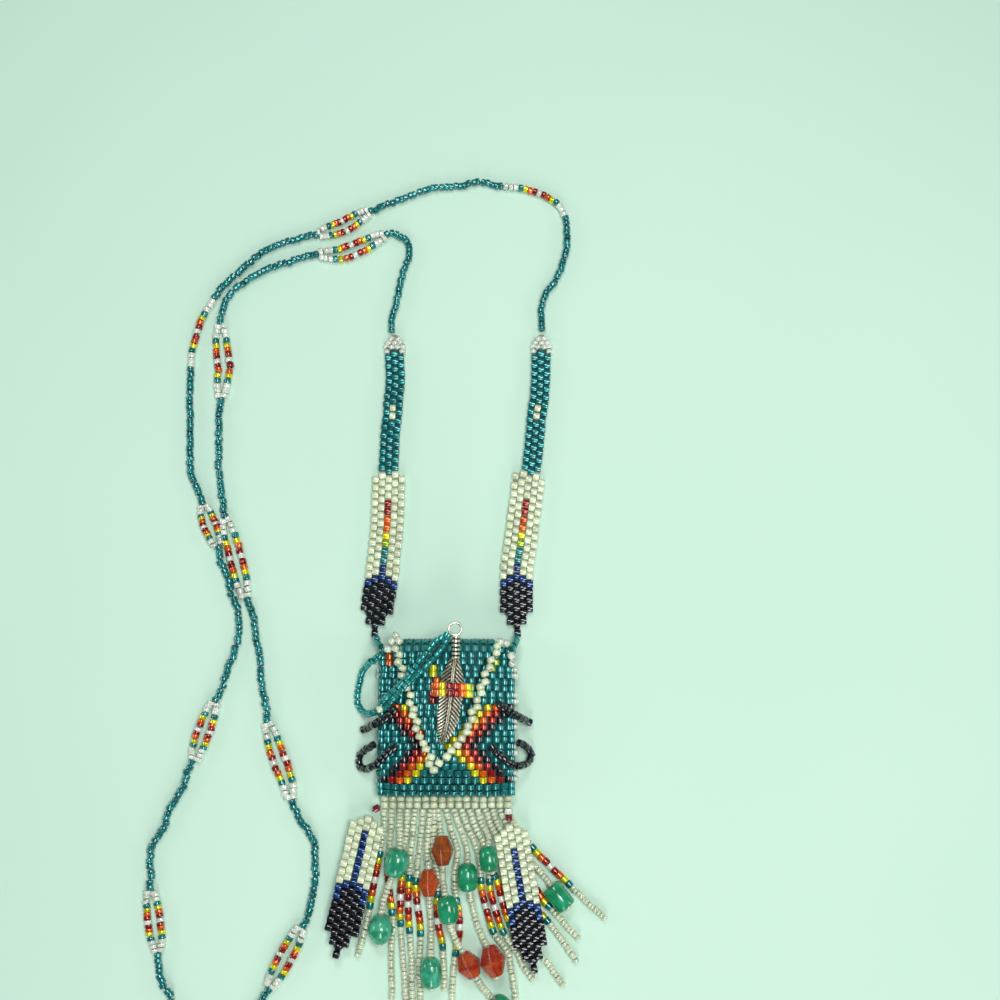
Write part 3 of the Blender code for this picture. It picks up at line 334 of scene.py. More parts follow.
def bead_glass_group():
    """Glass of a bead: draw lines along it, painted shade that darkens its ends and bore where it meets the
    next bead, and uneven polish over the bag. The lines are noise stretched 26 to 1.2 along the bead, and the
    painted rim shade grows with how far a point lies from the middle of the bead's outer wall."""
    group = bpy.data.node_groups.new("bead glass", "ShaderNodeTree")
    for socket in ("Colour", "Lines", "Rim shade", "Polish"):
        kind = "NodeSocketColor" if socket == "Colour" else "NodeSocketFloat"
        group.interface.new_socket(socket, in_out="INPUT", socket_type=kind)
    for socket in ("Colour", "Roughness", "Height"):
        kind = "NodeSocketColor" if socket == "Colour" else "NodeSocketFloat"
        group.interface.new_socket(socket, in_out="OUTPUT", socket_type=kind)
    given, out = group.nodes.new("NodeGroupInput").outputs, group.nodes.new("NodeGroupOutput")
    stretch = group.nodes.new("ShaderNodeMapping")
    feed(group, stretch, {"Scale": (26.0, 1.2, 1.0), "Vector": where(group, "UV")})
    lines = noise(group, stretch.outputs["Vector"], 1.0)
    split = feed(group, group.nodes.new("ShaderNodeSeparateXYZ"), {0: where(group, "UV")})
    from_middle = calculate(group, "ABSOLUTE", calculate(group, "SUBTRACT", split.outputs["Y"], WALL_MIDDLE))
    rim_shade = spread(group, from_middle, 0.20, 0.36, 0.0, 1.0)
    patches = noise(group, where(group), 420.0)
    light = calculate(group, "MULTIPLY_ADD", calculate(group, "SUBTRACT", lines, 0.5), given["Lines"], 1.0)
    light = calculate(group, "MULTIPLY", light, spread(group, patches, 0.3, 0.7, 0.9, 1.08))
    # painted shade: the bead's ends and bore are darkened where it meets its neighbours
    dark = calculate(group, "MULTIPLY", rim_shade, given["Rim shade"])
    light = calculate(group, "MULTIPLY", light, calculate(group, "SUBTRACT", 1.0, dark))
    shade = feed(group, group.nodes.new("ShaderNodeCombineColor"), {0: light, 1: light, 2: light})
    polish = calculate(group, "SUBTRACT", given["Polish"], 0.07)
    feed(group, out, {
        "Colour": mix_colours(group, "MULTIPLY", 1.0, given["Colour"], shade.outputs[0]),
        "Roughness": calculate(group, "MULTIPLY_ADD", patches, 0.14, polish), "Height": lines,
    })
    return group


def bead_material(name, lines, rim_shade, polish, raised, shader_values):
    """A bead finish that takes its colour from the beads' own colours."""
    material, tree, shader = new_material(name)
    glass = tree.nodes.new("ShaderNodeGroup")
    glass.node_tree = BEAD_GLASS
    feed(tree, glass, {"Colour": own_colour(tree), "Lines": lines, "Rim shade": rim_shade, "Polish": polish})
    made = glass.outputs
    feed(tree, shader, {"Base Color": made["Colour"], "Roughness": made["Roughness"],
                        "Normal": bump(tree, made["Height"], raised, 0.05 * MM), "Coat Weight": 1.0,
                        "Coat Roughness": 0.12, **shader_values})
    return material


def thread_material():
    """Waxed thread: twisted plies as fine diagonal waves, painted shade darkening the grooves between them,
    and a slight sheen.
    """
    material, tree, shader = new_material("waxed thread")
    plies = tree.nodes.new("ShaderNodeTexWave")
    plies.bands_direction = "DIAGONAL"
    wave = feed(tree, plies, {"Scale": 900.0, "Distortion": 2.0, "Vector": where(tree)}).outputs["Fac"]
    # painted shade in the grooves between the plies
    ply_shade = spread(tree, wave, 0.0, 1.0, 0.0, 0.6)
    feed(tree, shader, {
        "Base Color": mix_colours(tree, "MULTIPLY", ply_shade, own_colour(tree), (0.35, 0.35, 0.35, 1.0)),
        "Roughness": spread(tree, wave, 0.0, 1.0, 0.5, 0.75), "Sheen Weight": 0.3,
    })
    return material


def silver_material():
    """Cast silver, darkened in its grooves: the feather's own colours say how deep a place lies."""
    material, tree, shader = new_material("antiqued silver")
    scratches = noise(tree, where(tree), 2600.0, 4.0)
    tarnish = spread(tree, noise(tree, where(tree), 700.0, 3.0), 0.45, 0.75, 0.0, 0.5)
    feed(tree, shader, {
        "Base Color": mix_colours(tree, "MULTIPLY", tarnish, own_colour(tree), (0.62, 0.55, 0.38, 1.0)),
        "Roughness": spread(tree, scratches, 0.3, 0.7, 0.22, 0.4), "Metallic": 1.0,
        "Normal": bump(tree, scratches, 0.25, 0.04 * MM),
    })
    return material


def accent_material(name, deep, pale, coat, coat_roughness):
    """Pressed glass: swirls of a deeper and a paler colour, and small pits in its surface."""
    material, tree, shader = new_material(name + " glass")
    swirl = spread(tree, noise(tree, where(tree), 330.0, distortion=1.6), 0.4, 0.66, 0.0, 1.0)
    pits = noise(tree, where(tree), 1500.0, 3.0)
    smooth = coat_roughness / 2
    feed(tree, shader, {
        "Base Color": mix_colours(tree, "MIX", swirl, (*deep, 1.0), (*pale, 1.0)),
        "Roughness": spread(tree, pits, 0.3, 0.7, 0.1 + smooth, 0.24 + smooth),
        "Normal": bump(tree, pits, 0.3, 0.06 * MM), "Transmission Weight": 0.3, "IOR": 1.5,
        "Coat Weight": coat, "Coat Roughness": coat_roughness,
    })
    return material


WALL_MIDDLE = 2.5 / 6  # the outer wall's middle, as a share of the way around a bead's section
BEAD_GLASS = bead_glass_group()

# Bead finishes: draw lines, painted rim shade, polish and bump, then the shader's own values
GLASS = {
    "lined glass": (0.5, 0.65, 0.25, 0.2, {"Metallic": 0.5, "Coat IOR": 1.55, "Specular IOR Level": 0.1}),
    "dull glass": (0.4, 0.4, 0.42, 0.3,
                   {"Coat Weight": 0.5, "Coat Roughness": 0.25, "Specular IOR Level": 0.3}),
    "pearl": (0.12, 0.28, 0.3, 0.15, {"Coat IOR": 1.7, "Subsurface Weight": 0.2, "Subsurface Scale": 0.001}),
    "frost": (0.12, 0.12, 0.2, 0.2, {"Transmission Weight": 0.2, "Coat IOR": 1.8}),
    "dark steel": (0.3, 0.35, 0.22, 0.2, {"Metallic": 0.6, "Coat IOR": 1.65, "Specular IOR Level": 0.2}),
}
# Accent glass: deep colour, pale colour, coat and its roughness
ACCENT_GLASS = {
    "emerald": ((0.012, 0.32, 0.16), (0.10, 0.62, 0.40), 0.4, 0.06),
    "grass": ((0.004, 0.28, 0.11), (0.015, 0.46, 0.22), 0.4, 0.06),
    "amber": ((0.28, 0.040, 0.003), (0.46, 0.12, 0.006), 0.25, 0.2),
    "orange amber": ((0.48, 0.05, 0.006), (0.62, 0.10, 0.012), 0.25, 0.2),
    "red amber": ((0.38, 0.014, 0.002), (0.58, 0.085, 0.004), 0.25, 0.2),
}
MATERIALS = {name: bead_material(name, *values) for name, values in GLASS.items()}
MATERIALS |= {name: accent_material(name, *values) for name, values in ACCENT_GLASS.items()}
MATERIALS |= {"thread": thread_material(), "silver": silver_material()}

# Building a piece


class Piece:
    """A piece in the making: blocks of points and faces, each with colours, UV places and a finish."""

    def __init__(self, name):
        self.name, self.count = name, 0
        self.points, self.faces, self.colours, self.uvs, self.normals, self.finishes = [], [], [], [], [], []

    def add(self, points, faces, colours, finish, uvs=None, normals=0.0):
        """points (n, 3), faces a list of arrays (m, corners), colours (n, 3) or one, and one finish or one a
        face. normals are for points whose shading isn't the mesh's own, and 0 elsewhere."""
        points = np.asarray(points, float).reshape(-1, 3)
        self.points.append(points)
        for kept, given in ((self.normals, normals), (self.colours, colours)):
            kept.append(np.broadcast_to(np.asarray(given, float), points.shape))
        self.faces += [block + self.count for block in faces]
        self.finishes += [finish] * sum(map(len, faces)) if isinstance(finish, str) else list(finish)
        if uvs is None:
            uvs = np.vstack([points[block][..., :2].reshape(-1, 2) * 100 for block in faces])
        self.uvs.append(uvs.reshape(-1, 2))
        self.count += len(points)

    def finish(self, slot, nodes):
        """Makes the mesh object, smooth, riding on the bag in place of its nodes of the part."""
        mesh = bpy.data.meshes.new(self.name)
        faces = [face for block in self.faces for face in block.tolist()]
        mesh.from_pydata(np.vstack(self.points).tolist(), [], faces)
        used = sorted(set(self.finishes))
        for name in used:
            mesh.materials.append(MATERIALS[name])
        numbers = {name: k for k, name in enumerate(used)}
        mesh.polygons.foreach_set("material_index", [numbers[name] for name in self.finishes])
        mesh.polygons.foreach_set("use_smooth", [True] * len(mesh.polygons))
        tint = mesh.color_attributes.new("bead_colour", "FLOAT_COLOR", "POINT")
        colours = np.vstack(self.colours)
        tint.data.foreach_set("color", np.hstack([colours, np.ones((len(colours), 1))]).ravel())
        mesh.uv_layers.new(name="UVMap").data.foreach_set("uv", np.vstack(self.uvs).ravel())
        mesh.normals_split_custom_set_from_vertices(np.vstack(self.normals).tolist())
        obj = bpy.data.objects.new(self.name, mesh)
        bpy.context.scene.collection.objects.link(obj)
        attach(obj, "root")
        if nodes:
            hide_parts(*nodes)
        return obj


def ring_faces(steps, sides):
    """Corner numbers of the faces of a closed ring of points (steps around its section, sides around it)."""
    p, k = np.indices((steps, sides))
    q, n = (p + 1) % steps, (k + 1) % sides
    return np.stack([p * sides + k, q * sides + k, q * sides + n, p * sides + n], -1).reshape(-1, 4)


# Half sections of the beads: (share of the length along the bore, share of the radius)
CYLINDER = [(-0.46, 0.34), (-0.5, 0.80), (-0.42, 1.0), (0.42, 1.0), (0.5, 0.80), (0.46, 0.34)]
ROUND = [(-0.42, 0.34), (-0.48, 0.74), (-0.30, 1.0), (0.30, 1.0), (0.48, 0.74), (0.42, 0.34)]
SIDES = 10
BARREL = 0.12

# Bead sizes in millimetres: across, and along the bore
PANEL_BEAD = (1.55, 1.19)
SEAM_BEAD = (1.5, 1.19)
BAND_BEAD = (1.53, 1.26)
TOGGLE_BEAD = (1.42, 1.28)
CAP_BEAD = (1.28, 1.0)
FLAP_EDGE_BEAD = (1.62, 1.25)
BEHIND_BEAD = (1.5, 1.2)
SIDE_EDGE_BEAD = (1.42, 1.16)
BASE_EDGE_BEAD = (1.5, 1.25)
FRINGE_BEAD = (1.26, 0.74)
MOTIF_BEAD = (1.42, 1.16)
NECK_BEAD = (1.44, 0.87)
NECK_MOTIF_BEAD = (1.45, 0.93)
TETHER_BEAD = (1.32, 0.92)
TETHER_TWIN_BEAD = (1.18, 0.92)


def add_beads(piece, centres, axes, size, names, profile=CYLINDER, tilt=0.03, shift=0.03):
    """Beads with a bore. Point (p, k) of a bead is its centre, plus the profile's p-th share of its length
    along its axis, plus the p-th share of its radius in the direction turned by k tenths of a full turn.
    Each bead differs a little in size, colour, direction and place."""
    count = len(names)
    axes = unit(np.broadcast_to(np.asarray(axes, float), (count, 3)) + CHANCE.normal(0.0, tilt, (count, 3)))
    centres = centres + CHANCE.normal(0.0, shift * MM, (count, 3))
    widths = size[0] * MM * CHANCE.normal(1.0, 0.015, count)
    lengths = size[1] * MM * CHANCE.normal(1.0, 0.03, count)
    guide = np.where(np.abs(axes[:, 2:]) > 0.8, [[1.0, 0.0, 0.0]], [[0.0, 0.0, 1.0]])
    side = unit(np.cross(guide, axes))
    around = spokes(circle(SIDES, 0.5), side, np.cross(axes, side))
    shape = np.array(profile)
    steps = len(shape)
    points = (
        centres[:, None, None]
        + axes[:, None, None] * (shape[:, 0] * lengths[:, None])[:, :, None, None]
        + around[:, None] * (shape[:, 1] * widths[:, None] / 2)[:, :, None, None]
    )
    faces = ring_faces(steps, SIDES)[:, [0, 3, 2, 1]]
    faces = (faces[None] + (np.arange(count) * steps * SIDES)[:, None, None]).reshape(-1, 4)
    p, k = np.indices((steps, SIDES))
    place = np.stack([np.stack([k, k + 1, k + 1, k], -1) / SIDES,
                      np.stack([p, p, p + 1, p + 1], -1) / steps], -1)
    uvs = place.reshape(1, -1, 4, 2) + CHANCE.integers(0, 9, (count, 1, 1, 2)) * [1.0, 0.0]
    colours = np.array([PAINT[name][0] for name in names]) * CHANCE.normal(1.0, 0.08, (count, 1))
    colours = np.clip(colours * CHANCE.normal(1.0, 0.012, (count, 3)), 0.001, 0.95)
    finishes = np.repeat([PAINT[name][1] for name in names], steps * SIDES)
    # a cylinder bead's wall is shaded as a slight barrel: the normals at its rims lean outwards
    straight = np.zeros((count, steps, SIDES, 3))
    if profile is CYLINDER:
        for step, lean in ((2, -BARREL), (3, BARREL)):
            straight[:, step] = unit(around + lean * axes[:, None])
    colours = np.repeat(colours, steps * SIDES, axis=0)
    piece.add(points, [faces], colours, finishes, uvs, straight.reshape(-1, 3))


def add_closed_tube(piece, rings, colours, finish):
    """A tube through rings (rows, points, 3) with a cap at each end, in one colour, or one a ring or a point.
    Rings run clockwise seen from the start."""
    rows, columns = rings.shape[:2]
    wall = ring_faces(rows, columns)[: (rows - 1) * columns, [0, 3, 2, 1]]
    first = np.arange(columns)[None, ::-1]
    if np.ndim(colours) > 1 and len(colours) == rows:
        colours = np.repeat(colours, columns, axis=0)
    piece.add(rings, [wall, first, first[:, ::-1] + (rows - 1) * columns], colours, finish)


def add_thread(piece, curve, radius, colour, spacing=1.6, sides=5):
    """A thin round thread along the curve: rings of points at equal distances, square to its heading."""
    length = arc_lengths(curve)[-1]
    distances = np.linspace(0.0, length, max(3, int(length / (spacing * MM))))
    axis = headings(curve, np.clip(distances, 0.4 * MM, length - 0.4 * MM))
    side = unit(np.cross([0.0, 0.0, 1.0], axis))
    out = spokes(circle(sides), side, np.cross(axis, side))
    add_closed_tube(piece, along(curve, distances)[:, None] + radius * MM * out, THREAD[colour], "thread")


def free_stretches(length, taken):
    """The stretches of a strand that no motif or accent bead takes."""
    start, found = 0.0, []
    for low, high in sorted(taken) + [(length, length)]:
        if low - start > 0.3 * MM:
            found.append((start, low))
        start = max(start, high)
    return found


def add_run(piece, curve, low, high, pitch, size, names, profile=CYLINDER, offset=None, **loose):
    """Beads threaded along a stretch of the curve: one colour at about this pitch in millimetres, or these
    colours in turn. Where they come closer than the pitch, they are shorter."""
    count = max(1, round((high - low) / (pitch * MM))) if isinstance(names, str) else len(names)
    step = (high - low) / count
    distances = low + step * (np.arange(count) + 0.5)
    centres = along(curve, distances)
    if offset is not None:
        centres = centres + offset(distances)
    if isinstance(names, str):
        names = [names] * count
    scale = min(1.0, step / (pitch * MM)) if count > 1 else 1.0
    add_beads(piece, centres, headings(curve, distances), (size[0], size[1] * scale), names, profile, **loose)


MOTIF = ["teal", "yellow", "orange", "red", "clear", "red", "orange", "yellow", "teal"]

# The pouch and its flap, in millimetres

COLUMN = 1.58  # from one column of beads to the next
ROW = 1.225  # from one bead of a column to the next
HALF_WIDTH = 12.64
LAST_ROW = 23
PANEL_HALF = 0.78  # from the outside of a panel to its beads' middles
BACK_Z = 0.8


def front_height(x, y):
    """Height of the pouch's front: 3.6 at its sides, 4 more in the middle, lower towards the fringe."""
    rise = 1.0 - np.minimum(1.0, np.abs(x) / HALF_WIDTH) ** 2.6
    fall = np.clip((-7.2 - np.asarray(y)) / 6.7, 0.0, 1.0)
    return 3.6 + 4.0 * rise * (1.0 - 0.92 * fall**2)


def row_y(row):
    """y of a row of beads, counted from the fold of the flap."""
    return 15.41 - ROW * np.asarray(row)


def slope_axes(x, y):
    """The direction down the pouch that lies on its front: (0, -1, -dz/dy), made one long."""
    fall = (front_height(x, y - 0.4) - front_height(x, y + 0.4)) / 0.8
    axes = np.stack([np.zeros_like(fall), -np.ones_like(fall), fall], -1)
    return axes / np.linalg.norm(axes, axis=-1, keepdims=True)


# How many columns from the middle the black edge of the two chevrons lies, by row
CHEVRON = {10: 8, 11: 7, 12: 6.5, 13: 5.5, 14: 5, 15: 4, 16: 3.5, 17: 4.5, 18: 5, 19: 6, 20: 6.5, 21: 7.5}
CHEVRON_PAINT = ["black", "red", "orange", "yellow"]


def pouch_paint(row, column):
    """Teal, with chevrons and a few odd beads beside the flap."""
    if row in CHEVRON:
        inward = CHEVRON[row] - abs(column)
        if 0 <= inward < len(CHEVRON_PAINT):
            return CHEVRON_PAINT[int(inward)]
    if row in (2, 3) and column == -7.0:
        return "rust"
    if (row, column) in ((3, 6.0), (4, 5.5)):
        return "lime"
    return "teal"


def weave(rows, limit):
    """(row, column) of the beads of a woven panel: each pair of rows is half a column from the next pair."""
    found = []
    for row in rows:
        half = (row // 2) % 2 == 0
        for column in (np.arange(-8, 8) + 0.5 if half else np.arange(-8, 9)):
            if limit(row, float(column)):
                found.append((row, float(column)))
    return found


def make_pouch():
    """A front and a back of woven rows, joined by turned columns at the sides and a row at the lower edge."""
    piece = Piece("woven_pouch")
    rows = range(1, LAST_ROW + 1)
    front = weave(rows, lambda row, column: abs(column) < 8)
    x = np.array([c * COLUMN for _, c in front])
    y = row_y([r for r, _ in front])
    centres = np.stack([x, y, front_height(x, y) - PANEL_HALF], -1)
    add_beads(piece, centres * MM, slope_axes(x, y), PANEL_BEAD, [pouch_paint(r, c) for r, c in front])
    back = np.stack([x, y, np.full_like(x, BACK_Z)], -1)
    add_beads(piece, back * MM, [0.0, 1.0, 0.0], PANEL_BEAD, ["teal"] * len(x))
    # the turned columns along the sides: one in the half rows, two in the others
    for side in (-1, 1):
        for row in rows:
            low = front_height(11.4, row_y(row)) - PANEL_HALF
            half = (row // 2) % 2 == 0
            heights = [0.5 * (low + BACK_Z)] if half else [BACK_Z + 0.22 * (low - BACK_Z), low - 0.3]
            out = 12.62 if half else 12.45
            spots = np.array([(side * out, row_y(row), z) for z in heights])
            names = ["teal"] * (len(heights) - 1) + [pouch_paint(row, 8.0 * side)]
            add_beads(piece, spots * MM, [0.0, 1.0, 0.0], SEAM_BEAD, names)
    # the beads that close the lower edge between back and front
    close = np.array([((k + 0.5) * COLUMN, row_y(LAST_ROW) + 0.1, 2.35) for k in range(-8, 8)])
    add_beads(piece, close * MM, [0.0, 1.0, 0.0], SEAM_BEAD, ["teal"] * 16)
    add_pouch_thread(piece)
    return piece.finish("teal_beads", ["pouch_bag"])


def add_pouch_thread(piece):
    """The thread that fills the weave, as a thin cup: rings along the front and back through the beads'
    middles, from the lower edge up the outside and down again 0.3 mm further in, closed at both ends."""
    across = np.linspace(-1.0, 1.0, 33)

    def ring(y, half, drop, floor):
        x = across * half
        front = np.stack([x, np.full(33, y), front_height(x, y) - drop], -1)
        flat = across[::-4] * half
        back = np.stack([flat, np.full(9, y), np.full(9, floor)], -1)
        return np.vstack([front, back])

    outside = [ring(y, 12.3, BACK_Z, BACK_Z) for y in np.linspace(-12.9, 14.0, 12)]
    inside = [ring(y, 12.0, 1.1, 1.1) for y in np.linspace(14.0, -12.4, 12)]
    rings = np.array(outside + inside)[:, ::-1] * MM
    add_closed_tube(piece, rings, THREAD["teal"], "thread")


# Flap

FLAP_TIP_X, FLAP_TIP_Y, FLAP_TOP_Y, FLAP_HALF = -2.3, -8.5, 14.4, 9.35
FOLD_Y, FOLD_RADIUS = 14.3, 1.1
FLAP_LIFT = 1.05  # from the pouch's front to the flap's middle layer


def flap_edge(y, side):
    """x of the flap's edging: from its half width at the top straight to the tip."""
    share = np.clip((np.asarray(y) - FLAP_TIP_Y) / (FLAP_TOP_Y - FLAP_TIP_Y), 0.0, 1.0)
    return side * FLAP_HALF * share + FLAP_TIP_X * (1.0 - share)


def flap_path(x, run):
    """Place and direction on the flap's middle layer at a run in millimetres from the fold's front:
    below 0 on the front, then a quarter turn over the mouth, then straight down the back."""
    x, run = np.broadcast_arrays(np.asarray(x, float), np.asarray(run, float))
    top = front_height(x, FLAP_TOP_Y) + FLAP_LIFT
    turn = np.clip(run / FOLD_RADIUS, 0.0, np.pi / 2)
    down = np.clip(run - FOLD_RADIUS * np.pi / 2, 0.0, None)
    front = run < 0
    y = FOLD_Y + np.where(front, run, FOLD_RADIUS * np.sin(turn))
    z = np.where(front, front_height(x, y) + FLAP_LIFT, top - FOLD_RADIUS * (1 - np.cos(turn)) - down)
    over = np.stack([np.zeros_like(y), np.cos(turn), -np.sin(turn)], -1)
    axes = np.where(front[..., None], -slope_axes(x, y), over)
    return np.stack([x, y, z], -1), axes


# Beads of the flap beside the feather that aren't teal: (row, column)
FLAP_PAINT = {
    (4, -1.5): "yellow", (5, -1.5): "yellow", (6, -1.0): "orange", (7, -1.0): "orange", (8, -1.5): "red",
    (9, -1.5): "dark_red",
}


def make_flap():
    """Woven rows between the flap's edges, from the back panel over the fold and down to the tip."""
    piece = Piece("woven_flap")

    def inside(row, column):
        y = row_y(row)
        return flap_edge(y, -1) + 0.55 < column * COLUMN < flap_edge(y, 1) - 0.55

    beads = weave(range(-7, 20), inside)
    x = np.array([c * COLUMN for _, c in beads])
    run = row_y([r for r, _ in beads]) - FOLD_Y
    centres, axes = flap_path(x, run)
    keep = centres[:, 2] > 0.95
    names = [FLAP_PAINT.get(b, "dull_teal" if b[0] < 2 else "teal") for b in beads]
    add_beads(piece, centres[keep] * MM, axes[keep], PANEL_BEAD, [n for n, k in zip(names, keep) if k])
    # the thread in the weave: a thin sheet along the beads' middles, inside the edging
    share = np.linspace(0.0, 1.0, 15)
    runs = np.concatenate([np.linspace(-21.0, -0.01, 20), np.linspace(0.0, 1.7, 5), np.linspace(2.4, 3.4, 2)])
    left, right = flap_edge(FOLD_Y + runs, -1) + 0.9, flap_edge(FOLD_Y + runs, 1) - 0.9
    grid_x = left[:, None] + (right - left)[:, None] * share[None]
    middle, heading = flap_path(grid_x, runs[:, None] + 0 * grid_x)
    normal = np.cross(heading, [1.0, 0.0, 0.0])
    normal *= np.where(normal[..., 2:] + normal[..., 1:2] < 0, -1.0, 1.0)
    rings = np.concatenate([middle + 0.12 * normal, (middle - 0.12 * normal)[:, ::-1]], axis=1)
    add_closed_tube(piece, rings * MM, THREAD["teal"], "thread")
    return piece.finish("teal_beads", ["flap"])


# Round beads along the flap's edges, from the fold to the point
EDGING_LEFT = [
    (398.9, 641), (396, 649), (400, 655), (399, 662), (403, 668.5), (402, 676), (406, 681.5), (407, 688),
    (411, 695), (410, 703), (414, 709), (413, 715.5), (417, 721.5), (416, 729), (419.6, 736.6), (423.5, 743),
    (426, 749), (431, 757), (429.5, 764), (434, 770),
]
EDGING_RIGHT = [
    (497, 646), (496.5, 653), (491, 660), (490, 667.6), (485, 674), (485, 682), (480.5, 687), (481, 693),
    (477, 700), (477, 707), (472, 712), (472.6, 719), (468, 726), (467, 732), (461.6, 738.5), (457, 745),
    (451.4, 750.6), (447, 757), (439, 763),
]
EDGING_BEHIND = [
    (396, 635.5), (392, 641), (388, 649), (500.5, 641.5), (505.6, 643.3),
    (511.3, 656, 5.3), (512.3, 663, 5.1),
]


def make_flap_edging():
    """Beads along both sloping edges, 1.6 mm above the pouch's front, and a few clear ones behind the
    flap."""
    piece = Piece("flap_edging_beads")
    for spots in (EDGING_LEFT, EDGING_RIGHT):
        guess = places(spots, 8.7)
        heights = front_height(guess[:, 0] / MM, guess[:, 1] / MM) + 1.6
        centres = np.array([at_pixel(*spot, z) for spot, z in zip(spots, heights)])
        lean = unit(np.gradient(centres, axis=0)) + [-0.55 if spots is EDGING_LEFT else 0.55, 0.0, 0.0]
        add_beads(piece, centres, lean, FLAP_EDGE_BEAD, ["white"] * len(centres), ROUND, tilt=0.12)
        add_thread(piece, centres, 0.16, "cream", spacing=0.7)
    behind = places(EDGING_BEHIND, 6.9)
    add_beads(piece, behind, [0.4, 0.8, 0.2], BEHIND_BEAD, ["clear"] * len(behind), ROUND, tilt=0.2)
    return piece.finish("white_beads", ["flap_edging"])


def make_side_edging(node, side):
    """White beads in pairs at every second pair of rows, on one thread along the side seam."""
    piece = Piece(node + "_beads")
    x = 13.15 if side > 0 else -12.95
    rows = [r for r in range(2, LAST_ROW) if (r // 2) % 2 == 0]
    spots = np.array([(x, row_y(r), 2.3 if side > 0 else 1.7) for r in rows])
    names = ["clear"] * len(rows)
    add_beads(piece, spots * MM, [0.12 * side, 1.0, 0.0], SIDE_EDGE_BEAD, names, ROUND, tilt=0.08)
    curve = np.array([(x - side * 0.25 * (k % 2), y, 2.0)
                      for k, y in enumerate(np.linspace(-12.2, 13.2, 42))])
    add_thread(piece, curve * MM, 0.14, "cream", spacing=0.6)
    return piece.finish("white_beads", [node])


EDGING_ROWS = (-13.95, -15.2)
FRINGE_START = -15.95


def make_base_edging():
    """Two rows of white beads below the pouch, one above the other in each column, and their threads."""
    piece = Piece("base_edging_beads")
    columns = (np.arange(-8, 8) + 0.5) * COLUMN
    for y in EDGING_ROWS:
        spots = np.array([(x, y, 1.25) for x in columns])
        add_beads(piece, spots * MM, [0.0, 1.0, 0.0], BASE_EDGE_BEAD, ["white"] * 16, ROUND, tilt=0.06)
    for x in columns:
        drop = np.array([(x, -13.0, 1.5), (x, FRINGE_START, 1.2)])
        add_thread(piece, drop * MM, 0.15, "cream", spacing=0.6)
    add_thread(piece, np.array([(-12.3, -14.57, 1.2), (12.3, -14.57, 1.2)]) * MM, 0.16, "cream")
    return piece.finish("white_beads", ["base_edging"])


# Toggle band and feather

BAND_MIDDLE = at_pixel(452.3, 690, 11.0) / MM
BAND_PAINT = ["orange", "orange", "yellow", "dark_red", "red", "orange", "yellow", "lime"]


def make_toggle_band():
    """Two rows of beads over an arch: x is -cos and height sin to the power 0.6 of an angle from 0 to 180."""
    piece = Piece("toggle_band_beads")
    foot = front_height(3.9, BAND_MIDDLE[1]) + 2.2
    angle = np.linspace(0.0, np.pi, 61)
    arch = np.stack([BAND_MIDDLE[0] - 3.35 * np.cos(angle), np.full(61, BAND_MIDDLE[1]),
                     foot + 2.45 * np.sin(angle) ** 0.6], -1)
    length = arc_lengths(arch)[-1]
    spots = along(arch, length * (np.arange(8) + 0.5) / 8)
    for row in (-0.66, 0.66):
        shifted = spots + [0.0, row, 0.0]
        shifted[:, 1] -= 0.05 * (spots[:, 0] - BAND_MIDDLE[0])
        add_beads(piece, shifted * MM, [0.02, 1.0, 0.0], TOGGLE_BEAD, BAND_PAINT, tilt=0.02)
    strip = np.array([[0, -1.2, -0.1], [0, 1.2, -0.1], [0, 1.2, 0.05], [0, -1.2, 0.05]])
    rings = along(arch, np.linspace(0.2, length - 0.2, 15))[:, None] + strip
    add_closed_tube(piece, rings * MM, THREAD["cream"], "thread")
    return piece.finish("orange_beads", ["toggle_band"])


FEATHER_Z = 9.75
BARB_SLOPE, BARB_PITCH = 0.45, 0.74
FEATHER_BLADE = [
    (455.5, 657, 4.2), (453.5, 670, 11), (452, 685, 11.7), (450.5, 700, 11.4), (448.5, 715, 10.6),
    (445.5, 730, 7.8), (441, 744, 1.2),
]
BRIGHT, GROOVED = np.array([0.74, 0.72, 0.60]), np.array([0.030, 0.026, 0.012])


